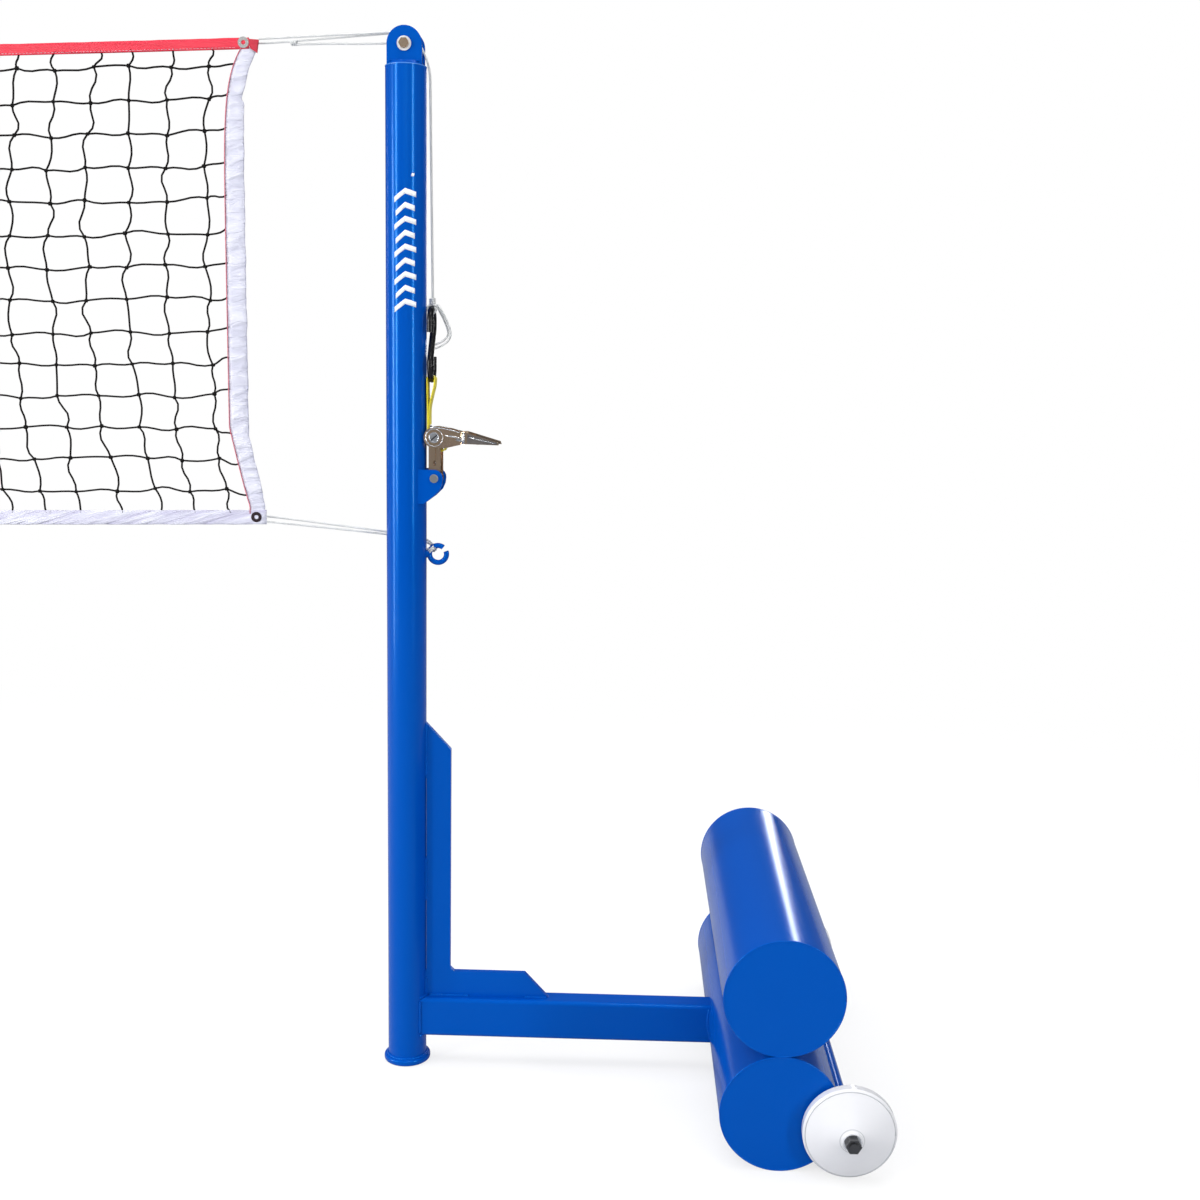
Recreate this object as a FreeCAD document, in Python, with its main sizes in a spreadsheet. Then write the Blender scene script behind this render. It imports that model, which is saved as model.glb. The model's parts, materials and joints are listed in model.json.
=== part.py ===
"""Free-standing volleyball net set: two weighted wheeled posts with a netting and its tension gear.

Frame: millimetres, +Z up, origin on the floor midway between the posts, +X along the net towards the
post with the ratchet, +Y across the net. The right post is modelled first and the left one is its mirror image.
"""
import FreeCAD, Part
import math
import os
import re
import Sketcher
from FreeCAD import Placement, Rotation, Vector

# ---------------------------------------------------------------------------------------------------------------
# Driving dimensions (millimetres), kept in the spreadsheet
# ---------------------------------------------------------------------------------------------------------------
SIZES = {
    # net and its tapes
    "net_length": 6100.0, "corner_gap": 214.0, "net_top": 1565.0, "net_bottom": 857.0,
    "sag_top": 66.0, "sag_bottom": 36.0, "top_tape": 16.0, "bottom_tape": 22.0, "side_tape": 29.0,
    "side_bow": 17.0, "side_inset": 8.0, "tape_thick": 3.0, "net_thick": 3.0, "sew_gap": 0.3,
    "eyelet_outer": 8.0, "eyelet_barrel": 3.9, "eyelet_bore": 3.2, "eyelet_lip": 0.8,
    "top_eyelet_in": 22.0, "bottom_eyelet_in": 15.0,
    # post, cap, head cheeks and sheave
    "post_od": 60.3, "post_wall": 3.9, "post_top": 1526.5, "cap_rise": 6.0, "cap_plug": 12.0,
    "cheek_radius": 25.5, "cheek_thick": 6.0, "cheek_gap": 22.0, "sheave_height": 1555.6,
    "sheave_radius": 22.0, "groove_radius": 18.0, "sheave_wide": 20.0, "bush_radius": 6.5, "bush_proud": 0.7,
    "pin_radius": 4.0, "running_gap": 0.05, "pin_washer": 9.0, "pin_washer_thick": 1.6,
    "pin_head": 13.0, "pin_head_high": 5.3, "pin_nut_high": 8.0, "pin_tail": 2.0,
    # foot
    "foot_radius": 36.5, "foot_high": 10.0, "foot_round": 3.5,
    # open eye on the post
    "eye_height": 817.2, "eye_gap": 17.65, "eye_radius": 13.0, "eye_rod": 4.0, "eye_opening": 32.0,
    "eye_boss": 6.0, "eye_boss_long": 4.0,
    # gusset and beam
    "gusset_thick": 9.5, "gusset_top": 554.0, "gusset_leg": 39.0, "gusset_slope": 42.0, "gusset_rise": 40.4,
    "gusset_foot": 188.0, "gusset_toe": 226.0, "gusset_corner": 6.0, "stitch_gap": 1.2,
    "beam_low": 45.6, "beam_deep": 63.0, "beam_wide": 40.0, "beam_wall": 3.2, "beam_corner": 6.0,
    # counterweights
    "weight_reach": 565.0, "weight_od": 168.3, "weight_wall": 7.1, "weight_long": 610.0,
    "disc_thick": 8.0, "disc_round": 2.2, "bead_long": 70.0, "bead_near": 12.0, "bead_far": 25.0,
    # axle and wheels
    "axle_height": 70.0, "axle_radius": 6.35, "sleeve_od": 21.3, "sleeve_bore": 6.7,
    "wheel_radius": 65.0, "wheel_wide": 41.7, "hub_radius": 16.0, "wheel_play": 0.3,
    "axle_washer": 12.5, "axle_washer_thick": 2.0, "axle_nut": 19.0, "axle_nut_high": 10.0, "axle_tail": 2.5,
    # ratchet bracket on the post
    "ratchet_gap": 14.35, "bracket_height": 933.4, "lug_radius": 13.0, "lug_inner": 17.5, "lug_thick": 4.8,
    "lug_drop": 38.5, "bracket_pin": 3.0, "bracket_washer": 6.5, "bracket_washer_thick": 1.2,
    "bracket_head": 10.0, "bracket_head_high": 4.0, "bracket_nut_high": 5.2, "spacer_radius": 5.0,
    # ratchet
    "drum_height": 994.3, "drum_radius": 6.5, "drum_slot": 2.4, "drum_cap": 8.0, "drum_cap_thick": 2.0,
    "frame_inner": 13.8, "frame_thick": 2.0, "frame_half": 9.0, "frame_top": 15.0, "frame_low": 10.0,
    "gear_inner": 16.2, "gear_thick": 2.0, "gear_tip": 14.0, "gear_root": 11.2, "gear_teeth": 12.0,
    "handle_inner": 18.8, "handle_thick": 2.0, "handle_flare": 4.0, "handle_round": 15.8,
    "handle_tilt": 5.0, "joggle_start": 40.0, "joggle_long": 6.0, "handle_long": 97.0,
    "pawl_thick": 3.0, "pawl_half": 18.4, "pawl_gap": 0.5, "pawl_travel": 6.0, "pawl_finger": 2.35,
    "wrap_outer": 10.05, "strap_wide": 25.0, "strap_thick": 1.8, "strap_gap": 3.05, "ply_gap": 0.4,
    # S-hook
    "hook_gap": 7.85, "hook_rod": 4.75, "hook_low": 1080.0, "hook_high": 1183.0, "hook_eye": 18.5,
    # rope
    "rope_radius": 1.5,
}

doc = FreeCAD.newDocument("volleyball_net_set")
sheet = doc.addObject("Spreadsheet::Sheet", "Sizes")
for row, (alias, value) in enumerate(SIZES.items(), 1):
    sheet.set(f"A{row}", alias)
    sheet.set(f"B{row}", str(value))
    sheet.setAlias(f"B{row}", alias)
doc.recompute()

POST = "(net_length / 2 + corner_gap)"
WEIGHT_X = f"({POST} + weight_reach)"
SLEEVE_STEP = "sqrt(((weight_od + sleeve_od) / 2) ^ 2 - (weight_od / 2 - axle_height) ^ 2)"
AXLE_X = f"({WEIGHT_X} + {SLEEVE_STEP})"
POST_FACE = f"({POST} + post_od / 2)"
RATCHET_X = f"({POST_FACE} + ratchet_gap)"
UPRIGHT = Rotation()
ALONG_X = Rotation(Vector(0, 1, 0), 90)
ALONG_Y = Rotation(Vector(1, 0, 0), -90)
NODES = []


def linked(text):
    """The same expression with each size's alias pointing at the spreadsheet."""
    return re.sub(r"[a-z][a-z_]+", lambda word: "Sizes." + word[0] if word[0] in SIZES else word[0], text)


def size(text):
    """The value of an expression of sizes."""
    return float(sheet.evalExpression(linked(text)))


def bind(target, **fields):
    for field, text in fields.items():
        target.setExpression(field, linked(text))
    return target


def put(target, at, rotation=UPRIGHT):
    """Place an object at three expressions of sizes."""
    target.Placement = Placement(Vector(), rotation)
    for axis, text in zip("xyz", at):
        target.setExpression("Placement.Base." + axis, linked(text))
    return target


def primitive(kind, name, at, rotation=UPRIGHT, **fields):
    solid = doc.addObject("Part::" + kind, name)
    bind(solid, **fields)
    return put(solid, at, rotation)


def box(name, at, long, wide, high):
    """A box whose lowest corner is at the given place."""
    return primitive("Box", name, at, Length=long, Width=wide, Height=high)


def rod(name, at, radius, length, rotation=ALONG_Y):
    return primitive("Cylinder", name, at, rotation, Radius=radius, Height=length)


def hexagon(name, at, across, length, rotation=ALONG_Y):
    prism = primitive("Prism", name, at, rotation, Circumradius=f"({across}) / 2 / cos(30)", Height=length)
    prism.Polygon = 6
    return prism


def fuse(name, *shapes):
    whole = doc.addObject("Part::MultiFuse", name)
    whole.Shapes = list(shapes)
    return whole


def cut(name, base, *tools):
    tool = tools[0] if len(tools) == 1 else fuse(name + "_tools", *tools)
    left = doc.addObject("Part::Cut", name)
    left.Base = base
    left.Tool = tool
    return left


def rounded(name, base, radius, *edges):
    fillet = doc.addObject("Part::Fillet", name)
    fillet.Base = base
    fillet.Edges = [(edge, radius, radius) for edge in edges]
    return fillet


def tube(name, at, outer, inner, length, rotation=ALONG_Y):
    return cut(name, rod(name + "_outside", at, outer, length, rotation),
               rod(name + "_bore", at, inner, length, rotation))


def group(name, *pieces):
    together = doc.addObject("Part::Compound", name)
    together.Links = list(pieces)
    return together


def node(piece, label):
    piece.Label = label
    NODES.append(piece)
    return piece


def both_posts(label, *pieces):
    """One node holding a piece of the right post and its mirror image on the left post."""
    right = pieces[0] if len(pieces) == 1 else group(label + "_right_side", *pieces)
    left = doc.addObject("Part::Mirroring", label + "_left_side")
    left.Source = right
    left.Normal = Vector(1, 0, 0)
    return node(group(label + "_pair", right, left), label)


def sketch_outline(body, plane, points):
    """A closed polygon whose corners are pinned to expressions of sizes."""
    sketch = body.newObject("Sketcher::SketchObject", body.Name + "_outline")
    origin_plane = [part for part in body.Origin.OriginFeatures if part.Role == plane][0]
    sketch.AttachmentSupport = [(origin_plane, "")]
    sketch.MapMode = "FlatFace"
    corners = [Vector(size(across), size(up), 0) for across, up in points]
    count = len(corners)
    for index in range(count):
        sketch.addGeometry(Part.LineSegment(corners[index], corners[(index + 1) % count]), False)
    for index in range(count):
        sketch.addConstraint(Sketcher.Constraint("Coincident", index, 2, (index + 1) % count, 1))
    for index, (corner, texts) in enumerate(zip(corners, points)):
        for kind, value, text in (("DistanceX", corner.x, texts[0]), ("DistanceY", corner.y, texts[1])):
            number = sketch.addConstraint(Sketcher.Constraint(kind, -1, 1, index, 1, value))
            sketch.setExpression(f"Constraints[{number}]", linked(text))
    return sketch


def plate(name, points, thick, at, plane="XZ_Plane"):
    """A flat plate padded both ways from its middle plane; points are (x, z) about its own place."""
    body = doc.addObject("PartDesign::Body", name)
    sketch = sketch_outline(body, plane, points)
    pad = body.newObject("PartDesign::Pad", name + "_pad")
    pad.Profile = sketch
    pad.Midplane = True
    bind(pad, Length=thick)
    return put(body, at)


def turned(name, points, at, axis="Y", rotation=UPRIGHT):
    """A turned piece: (radius, offset) points revolved about the body's own Y or Z axis."""
    body = doc.addObject("PartDesign::Body", name)
    sketch = sketch_outline(body, "XY_Plane" if axis == "Y" else "XZ_Plane", points)
    revolution = body.newObject("PartDesign::Revolution", name + "_turning")
    revolution.Profile = sketch
    revolution.ReferenceAxis = (sketch, ["V_Axis"])
    revolution.Angle = 360
    return put(body, at, rotation)


def shape_node(label, shape):
    """A node whose shape is set directly: cords, bent rod and cloth."""
    feature = doc.addObject("Part::Feature", label)
    feature.Shape = shape
    return node(feature, label)


# ---------------------------------------------------------------------------------------------------------------
# Cords: straight runs joined by tangent arcs
# ---------------------------------------------------------------------------------------------------------------
def route_edges(name, points, bends=None):
    """Edges of a route and its least bend; bends gives the radius at points that go round something."""
    bends = bends or {}
    points = [Vector(*point) for point in points]
    edges, start, tightest = [], points[0], None
    for index in range(1, len(points) - 1):
        before = points[index - 1] - points[index]
        after = points[index + 1] - points[index]
        half_turn = (math.pi - before.getAngle(after)) / 2
        radius = bends.get(index, 0.45 * min(before.Length, after.Length) / math.tan(half_turn))
        tangent = radius * math.tan(half_turn)
        before.normalize()
        after.normalize()
        first = points[index] + before * tangent
        last = points[index] + after * tangent
        middle = before + after
        middle.normalize()
        centre = points[index] + middle * (radius / math.cos(half_turn))
        edges.append(Part.LineSegment(start, first).toShape())
        edges.append(Part.Arc(first, centre - middle * radius, last).toShape())
        start = last
        tightest = radius if tightest is None else min(tightest, radius)
    edges.append(Part.LineSegment(start, points[-1]).toShape())
    print(f"{name}: length {sum(edge.Length for edge in edges):.0f} mm, tightest bend {tightest or 0:.1f} mm")
    return edges


def swept(name, points, section, bends=None):
    """A section swept along a route, checked against its area times the route's length."""
    edges = route_edges(name, points, bends)
    solid = Part.Wire(edges).makePipeShell([section], True, False)
    if solid.ShapeType != "Solid":
        solid = Part.makeSolid(solid)
    if solid.Volume < 0:
        solid.reverse()
    expected = Part.Face(section).Area * sum(edge.Length for edge in edges)
    if abs(solid.Volume - expected) > 0.03 * expected:
        raise ValueError(f"{name}: volume {solid.Volume:.0f} against {expected:.0f}")
    return solid


def cord(name, points, radius=None, bends=None):
    start, step = Vector(*points[0]), Vector(*points[1]) - Vector(*points[0])
    section = Part.Wire(Part.makeCircle(radius or size("rope_radius"), start, step))
    return swept(name, points, section, bends)


def mirrored(points):
    return [(-across, along, up) for across, along, up in points]


# ---------------------------------------------------------------------------------------------------------------
# Post, cap, foot and head
# ---------------------------------------------------------------------------------------------------------------
def make_post():
    both_posts("post_tube", tube("post_pipe", (POST, "0", "foot_high"), "post_od / 2", "post_od / 2 - post_wall",
                                 "post_top - foot_high", UPRIGHT))
    cap = turned("post_cap_body", [
        ("0", "-cap_plug"), ("post_od / 2 - post_wall", "-cap_plug"), ("post_od / 2 - post_wall", "0"),
        ("post_od / 2", "0"), ("post_od / 2 - cap_rise", "cap_rise"), ("0", "cap_rise")],
        (POST, "0", "post_top"), axis="Z")
    both_posts("post_cap", cap)
    disc = rod("foot_blank", (POST, "0", "0"), "foot_radius", "foot_high", UPRIGHT)
    both_posts("foot_disc", rounded("foot_rounded", disc, size("foot_round"), 2, 3))


def make_head():
    cheeks = []
    for label, side in (("front_cheek", "-1"), ("rear_cheek", "1")):
        middle = f"{side} * (cheek_gap + cheek_thick) / 2"
        low_face = f"{middle} - cheek_thick / 2"
        drop = "(sheave_height - post_top)"
        upright = plate(label + "_plate", [("-cheek_radius", f"-{drop}"), ("cheek_radius", f"-{drop}"),
                                           ("cheek_radius", "0"), ("-cheek_radius", "0")],
                        "cheek_thick", (POST, middle, "sheave_height"))
        crown = rod(label + "_crown", (POST, low_face, "sheave_height"), "cheek_radius", "cheek_thick")
        hole = rod(label + "_hole", (POST, low_face, "sheave_height"), "pin_radius + running_gap", "cheek_thick")
        seat = primitive("Cone", label + "_seat", (POST, "0", "post_top"), Radius1="post_od / 2",
                         Radius2="post_od / 2 - cap_rise", Height="cap_rise")
        cheeks.append(cut(label + "_cut", fuse(label + "_whole", upright, crown), hole, seat))
    both_posts("head_cheek", *cheeks)
    for side, sign in (("right", ""), ("left", "-")):
        centre = (sign + POST, "0", "sheave_height")
        bush = "(sheave_wide / 2 + bush_proud)"
        node(turned("sheave_" + side, [
            ("pin_radius + running_gap", f"-{bush}"), ("bush_radius", f"-{bush}"),
            ("bush_radius", "-sheave_wide / 2"), ("sheave_radius", "-sheave_wide / 2"),
            ("sheave_radius", "-sheave_wide / 2 + 3"), ("groove_radius", "-sheave_wide / 2 + 5"),
            ("groove_radius", "sheave_wide / 2 - 5"), ("sheave_radius", "sheave_wide / 2 - 3"),
            ("sheave_radius", "sheave_wide / 2"), ("bush_radius", "sheave_wide / 2"), ("bush_radius", bush),
            ("pin_radius + running_gap", bush)], centre), "sheave_" + side)
    outside = "(cheek_gap / 2 + cheek_thick)"
    front = f"(-{outside} - pin_washer_thick)"
    both_posts("sheave_bolt", fuse(
        "sheave_bolt_whole",
        hexagon("sheave_bolt_head", (POST, f"{front} - pin_head_high", "sheave_height"), "pin_head", "pin_head_high"),
        rod("sheave_bolt_shank", (POST, front, "sheave_height"), "pin_radius",
            f"2 * {outside} + 2 * pin_washer_thick + pin_nut_high + pin_tail")))
    return [tube("sheave_washer_" + name, (POST, place, "sheave_height"), "pin_washer",
                 "pin_radius + running_gap", "pin_washer_thick") for name, place in (("front", front),
                                                                                     ("rear", outside))]


def make_nuts():
    """Lock nuts behind the sheave bolt and the bracket bolt."""
    places = (("sheave", POST, "cheek_gap / 2 + cheek_thick + pin_washer_thick", "sheave_height",
               "pin_head", "pin_nut_high", "pin_radius"),
              ("bracket", RATCHET_X, "lug_inner + lug_thick + bracket_washer_thick", "bracket_height",
               "bracket_head", "bracket_nut_high", "bracket_pin"))
    both_posts("lock_nuts", *[
        cut(name + "_nut", hexagon(name + "_nut_blank", (across, along, up), width, high),
            rod(name + "_nut_thread", (across, along, up), hole, high))
        for name, across, along, up, width, high, hole in places])


def make_open_eye():
    """Rope eye bent from round rod, left open at its upper right, on a small boss welded to the post."""
    centre = Vector(size(POST_FACE + " + eye_gap"), 0, size("eye_height"))
    radius, thick, opening = size("eye_radius"), size("eye_rod"), size("eye_opening")
    ring = Part.makeTorus(radius, thick, Vector(), Vector(0, 0, 1), 0, 360, 360 - opening)
    ring.Placement = Placement(centre, Rotation(Vector(1, 0, 0), 90)) * \
        Placement(Vector(), Rotation(Vector(0, 0, 1), 20 + opening))
    ring_feature = doc.addObject("Part::Feature", "open_eye_ring")
    ring_feature.Shape = ring
    boss = rod("open_eye_boss", (POST, "0", "eye_height"), "eye_boss", "post_od / 2 + eye_boss_long", ALONG_X)
    wall = rod("open_eye_seat", (POST, "0", "eye_height - 30"), "post_od / 2", "60", UPRIGHT)
    both_posts("open_eye", fuse("open_eye_whole", ring_feature, cut("open_eye_coped", boss, wall)))


# ---------------------------------------------------------------------------------------------------------------
# Gusset, beam, counterweights, axle and wheels
# ---------------------------------------------------------------------------------------------------------------
def make_gusset():
    top = "(beam_low + beam_deep)"
    profile = [("0", top), ("gusset_toe", top), ("gusset_foot", f"{top} + gusset_rise"),
               ("post_od / 2 + gusset_leg + gusset_corner", f"{top} + gusset_rise"),
               ("post_od / 2 + gusset_leg", f"{top} + gusset_rise + gusset_corner"),
               ("post_od / 2 + gusset_leg", "gusset_top - gusset_slope"),
               ("post_od / 2", "gusset_top"), ("0", "gusset_top")]
    blank = plate("gusset_blank", profile, "gusset_thick", (POST, "0", "0"))
    post = rod("gusset_seat", (POST, "0", "0"), "post_od / 2", "gusset_top + 1", UPRIGHT)
    reliefs = [rod(f"gusset_relief_{index}", (POST, "0", low), "post_od / 2 + stitch_gap", high, UPRIGHT)
               for index, (low, high) in enumerate(((f"{top} + gusset_rise", "117"), (f"{top} + 227", "130")))]
    both_posts("gusset_plate", cut("gusset_cut", blank, post, *reliefs))


def rounded_bar(name, at, long, wide, high, corner):
    """A bar along X with rounded long edges, as cross-section boxes joined by four rods."""
    across, along, up = at
    flat = box(name + "_flat", (across, f"{along} - ({wide}) / 2", f"{up} + ({corner})"), long, wide,
               f"({high}) - 2 * ({corner})")
    tall = box(name + "_tall", (across, f"{along} - ({wide}) / 2 + ({corner})", up), long,
               f"({wide}) - 2 * ({corner})", high)
    edges = [rod(f"{name}_edge_{left}{low}",
                 (across, f"{along} + {left} * (({wide}) / 2 - ({corner}))",
                  f"{up} + ({high}) / 2 + {low} * (({high}) / 2 - ({corner}))"), corner, long, ALONG_X)
             for left in (-1, 1) for low in (-1, 1)]
    return fuse(name, flat, tall, *edges)


def make_beam():
    outside = rounded_bar("beam_outside", (POST, "0", "beam_low"), "weight_reach", "beam_wide", "beam_deep",
                          "beam_corner")
    inside = rounded_bar("beam_inside", (POST, "0", "beam_low + beam_wall"), "weight_reach",
                         "beam_wide - 2 * beam_wall", "beam_deep - 2 * beam_wall", "beam_corner - beam_wall")
    post = rod("beam_post_cope", (POST, "0", "0"), "post_od / 2", "beam_low + beam_deep + 30", UPRIGHT)
    weight = rod("beam_weight_cope", (WEIGHT_X, "-beam_wide", "weight_od / 2"), "weight_od / 2", "2 * beam_wide")
    both_posts("beam", cut("beam_coped", outside, inside, post, weight))


def make_weights():
    shells = [tube(f"shell_{name}", (WEIGHT_X, "-(weight_long / 2 - disc_thick)", height), "weight_od / 2",
                   "weight_od / 2 - weight_wall", "weight_long - 2 * disc_thick")
              for name, height in (("lower", "weight_od / 2"), ("upper", "1.5 * weight_od"))]
    both_posts("weight_shell", *shells)
    discs = []
    fills = []
    for name, height in (("lower", "weight_od / 2"), ("upper", "1.5 * weight_od")):
        for side, place, edge in (("front", "-weight_long / 2", 2), ("rear", "weight_long / 2 - disc_thick", 3)):
            blank = rod(f"disc_{name}_{side}", (WEIGHT_X, place, height), "weight_od / 2", "disc_thick")
            discs.append(rounded(f"disc_{name}_{side}_round", blank, size("disc_round"), edge))
        fills.append(rod("fill_" + name, (WEIGHT_X, "-(weight_long / 2 - disc_thick)", height),
                         "weight_od / 2 - weight_wall", "weight_long - 2 * disc_thick"))
    both_posts("weight_end_disc", *discs)
    both_posts("ballast_fill", *fills)


def make_weight_beads():
    """Stitch weld beads in both grooves between the stacked weights, and along the axle sleeve."""
    beads = []
    for index, start in enumerate(("-weight_long / 2 + 20", "-bead_long / 2", "weight_long / 2 - 20 - bead_long")):
        for side, place in (("inner", "-bead_far"), ("outer", "bead_near")):
            blank = box(f"bead_{side}_{index}", (f"{WEIGHT_X} + {place}", start, "weight_od - 6"),
                        "bead_far - bead_near", "bead_long", "12")
            barrels = [rod(f"bead_{side}_{index}_{name}", (WEIGHT_X, "-weight_long / 2", height), "weight_od / 2",
                           "weight_long") for name, height in (("low", "weight_od / 2"), ("high", "1.5 * weight_od"))]
            beads.append(cut(f"bead_{side}_{index}_cut", blank, *barrels))
    for index, start in enumerate(("-weight_long / 2 + 30", "weight_long / 2 - 30 - bead_long")):
        blank = box(f"sleeve_bead_{index}", (f"{AXLE_X} - sleeve_od / 2 - 3", start, "axle_height + 5"), "9",
                    "bead_long", "7")
        weight = rod(f"sleeve_bead_weight_{index}", (WEIGHT_X, "-weight_long / 2", "weight_od / 2"),
                     "weight_od / 2", "weight_long")
        sleeve = rod(f"sleeve_bead_sleeve_{index}", (AXLE_X, "-weight_long / 2", "axle_height"), "sleeve_od / 2",
                     "weight_long")
        beads.append(cut(f"sleeve_bead_{index}_cut", blank, weight, sleeve))
    both_posts("weld_bead", *beads)


def make_axle():
    both_posts("axle_sleeve", tube("axle_sleeve_pipe", (AXLE_X, "-weight_long / 2", "axle_height"),
                                   "sleeve_od / 2", "sleeve_bore", "weight_long"))
    stack = "(axle_washer_thick + wheel_play + wheel_wide + wheel_play + axle_washer_thick)"
    reach = f"(weight_long / 2 + {stack} + axle_nut_high + axle_tail)"
    both_posts("axle_rod", rod("axle_bar", (AXLE_X, f"-{reach}", "axle_height"), "axle_radius", f"2 * {reach}"))
    washers = []
    nuts = []
    for name, sign, shift in (("front", "-", "1"), ("rear", "", "0")):
        for kind, place in (("inner", "weight_long / 2"),
                            ("outer", f"weight_long / 2 + {stack} - axle_washer_thick")):
            start = f"{sign}({place}) - {shift} * axle_washer_thick"
            washers.append(tube(f"axle_washer_{name}_{kind}", (AXLE_X, start, "axle_height"), "axle_washer",
                                "axle_radius + running_gap", "axle_washer_thick"))
        start = f"{sign}(weight_long / 2 + {stack}) - {shift} * axle_nut_high"
        nuts.append(cut(f"axle_nut_{name}", hexagon(f"axle_nut_{name}_blank", (AXLE_X, start, "axle_height"),
                                                   "axle_nut", "axle_nut_high"),
                        rod(f"axle_nut_{name}_thread", (AXLE_X, start, "axle_height"), "axle_radius",
                            "axle_nut_high")))
    both_posts("axle_washer", *washers)
    both_posts("axle_nut", *nuts)


def make_wheels():
    profile = [("axle_radius + running_gap", "0"), ("hub_radius", "0"), ("hub_radius + 2", "17"),
               ("wheel_radius - 8", "7"), ("wheel_radius - 8", "3.7"), ("wheel_radius - 2", "3.7"),
               ("wheel_radius", "6"), ("wheel_radius", "17"), ("wheel_radius - 3", "20"),
               ("hub_radius - 1", "wheel_wide - 3.2"), ("hub_radius - 3", "wheel_wide"),
               ("axle_radius + running_gap", "wheel_wide")]
    for side, sign in (("right", ""), ("left", "-")):
        for end, way, rotation in (("front", "-", Rotation(Vector(0, 0, 1), 180)), ("rear", "", UPRIGHT)):
            place = f"{way}(weight_long / 2 + axle_washer_thick + wheel_play)"
            label = f"wheel_{side}_{end}"
            node(turned(label, profile, (sign + AXLE_X, place, "axle_height"), rotation=rotation), label)


# ---------------------------------------------------------------------------------------------------------------
# Bracket and ratchet on the right post
# ---------------------------------------------------------------------------------------------------------------
def make_bracket(washers):
    """Bracket lugs and their bolt; the washers of the sheave bolt join the bracket's own in one node."""
    lugs = []
    for name, side in (("front", "-1"), ("rear", "1")):
        middle = f"{side} * (lug_inner + lug_thick / 2)"
        low_face = f"{middle} - lug_thick / 2"
        reach = "(post_od / 2 + ratchet_gap)"
        wedge = plate(f"lug_{name}_plate", [
            (f"-{reach}", "-lug_drop"), (f"-{reach} + post_od / 2 - 2", "-lug_drop"),
            ("-2", "-lug_drop * 0.72"), ("lug_radius * 0.62", "-lug_drop * 0.46"),
            ("lug_radius * 0.93", "-lug_drop * 0.22"), ("lug_radius", "0"), ("0", "lug_radius"),
            (f"-{reach}", "lug_radius")], "lug_thick", (RATCHET_X, middle, "bracket_height"))
        crown = rod(f"lug_{name}_crown", (RATCHET_X, low_face, "bracket_height"), "lug_radius", "lug_thick")
        hole = rod(f"lug_{name}_hole", (RATCHET_X, low_face, "bracket_height"), "bracket_pin + running_gap",
                   "lug_thick")
        seat = rod(f"lug_{name}_seat", (POST, "0", "bracket_height - 60"), "post_od / 2", "120", UPRIGHT)
        lugs.append(cut(f"lug_{name}", fuse(f"lug_{name}_whole", wedge, crown), hole, seat))
    both_posts("bracket_lug", *lugs)
    outside = "(lug_inner + lug_thick + bracket_washer_thick)"
    both_posts("bracket_bolt", fuse(
        "bracket_bolt_whole",
        hexagon("bracket_bolt_head", (RATCHET_X, f"-{outside} - bracket_head_high", "bracket_height"),
                "bracket_head", "bracket_head_high"),
        rod("bracket_bolt_shank", (RATCHET_X, f"-{outside}", "bracket_height"), "bracket_pin",
            f"2 * {outside} + bracket_nut_high + 1.5")))
    both_posts("bolt_washer", *washers, *[
        tube(f"bracket_washer_{name}", (RATCHET_X, place, "bracket_height"), "bracket_washer",
             "bracket_pin + running_gap", "bracket_washer_thick")
        for name, place in (("front", f"-{outside}"), ("rear", "lug_inner + lug_thick"))])
    node(tube("rope_spacer_tube", ("-" + RATCHET_X, "-(lug_inner - 0.2)", "bracket_height"), "spacer_radius",
              "bracket_pin + running_gap", "2 * (lug_inner - 0.2)"), "rope_spacer")


def make_ratchet_frame():
    span = "(drum_height - bracket_height)"
    cheeks = []
    for name, side in (("front", "-1"), ("rear", "1")):
        middle = f"{side} * (frame_inner + frame_thick / 2)"
        low_face = f"{middle} - frame_thick / 2"
        body = plate(f"frame_{name}_plate", [("-frame_half", f"-{span}"), ("frame_half", f"-{span}"),
                                             ("frame_half", "0"), ("-frame_half", "0")],
                     "frame_thick", (RATCHET_X, middle, "drum_height"))
        top = rod(f"frame_{name}_top", (RATCHET_X, low_face, "drum_height"), "frame_top", "frame_thick")
        low = rod(f"frame_{name}_low", (RATCHET_X, low_face, "bracket_height"), "frame_low", "frame_thick")
        cheeks += [body, top, low]
    web = box("frame_web", (f"{RATCHET_X} - frame_half", "-frame_inner - 0.5", "bracket_height + 12"), "2",
              "2 * frame_inner + 1", "30")
    seat = box("frame_spring_seat", (f"{RATCHET_X} - frame_half", "-5", "bracket_height + 11.1"), "15", "10", "2")
    drum_hole = rod("frame_drum_hole", (RATCHET_X, "-20", "drum_height"), "drum_radius + running_gap", "40")
    pin_hole = rod("frame_pin_hole", (RATCHET_X, "-20", "bracket_height"), "bracket_pin + running_gap", "40")
    slot = box("frame_pawl_slot", (f"{RATCHET_X} - pawl_thick / 2 - 0.25", "-20", "bracket_height + 19"),
               "pawl_thick + 0.5", "40", f"{span} - 19 - gear_tip + 0.6")
    whole = fuse("ratchet_frame_whole", *cheeks, web, seat)
    node(cut("ratchet_frame_cut", whole, drum_hole, pin_hole, slot), "ratchet_frame")


def toothed_wheel(name, place):
    """A ratchet gear: pointed teeth from the root circle to the tip circle."""
    teeth = int(size("gear_teeth"))
    points = []
    for tooth in range(teeth):
        for radius, part in (("gear_root", 0.0), ("gear_tip", 0.25), ("gear_tip", 0.5), ("gear_root", 0.75)):
            angle = 360.0 * (tooth + part - 0.375) / teeth - 90.0
            points.append((f"{radius} * cos({angle})", f"{radius} * sin({angle})"))
    return plate(name, points, "gear_thick", (RATCHET_X, place, "drum_height"))


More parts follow.
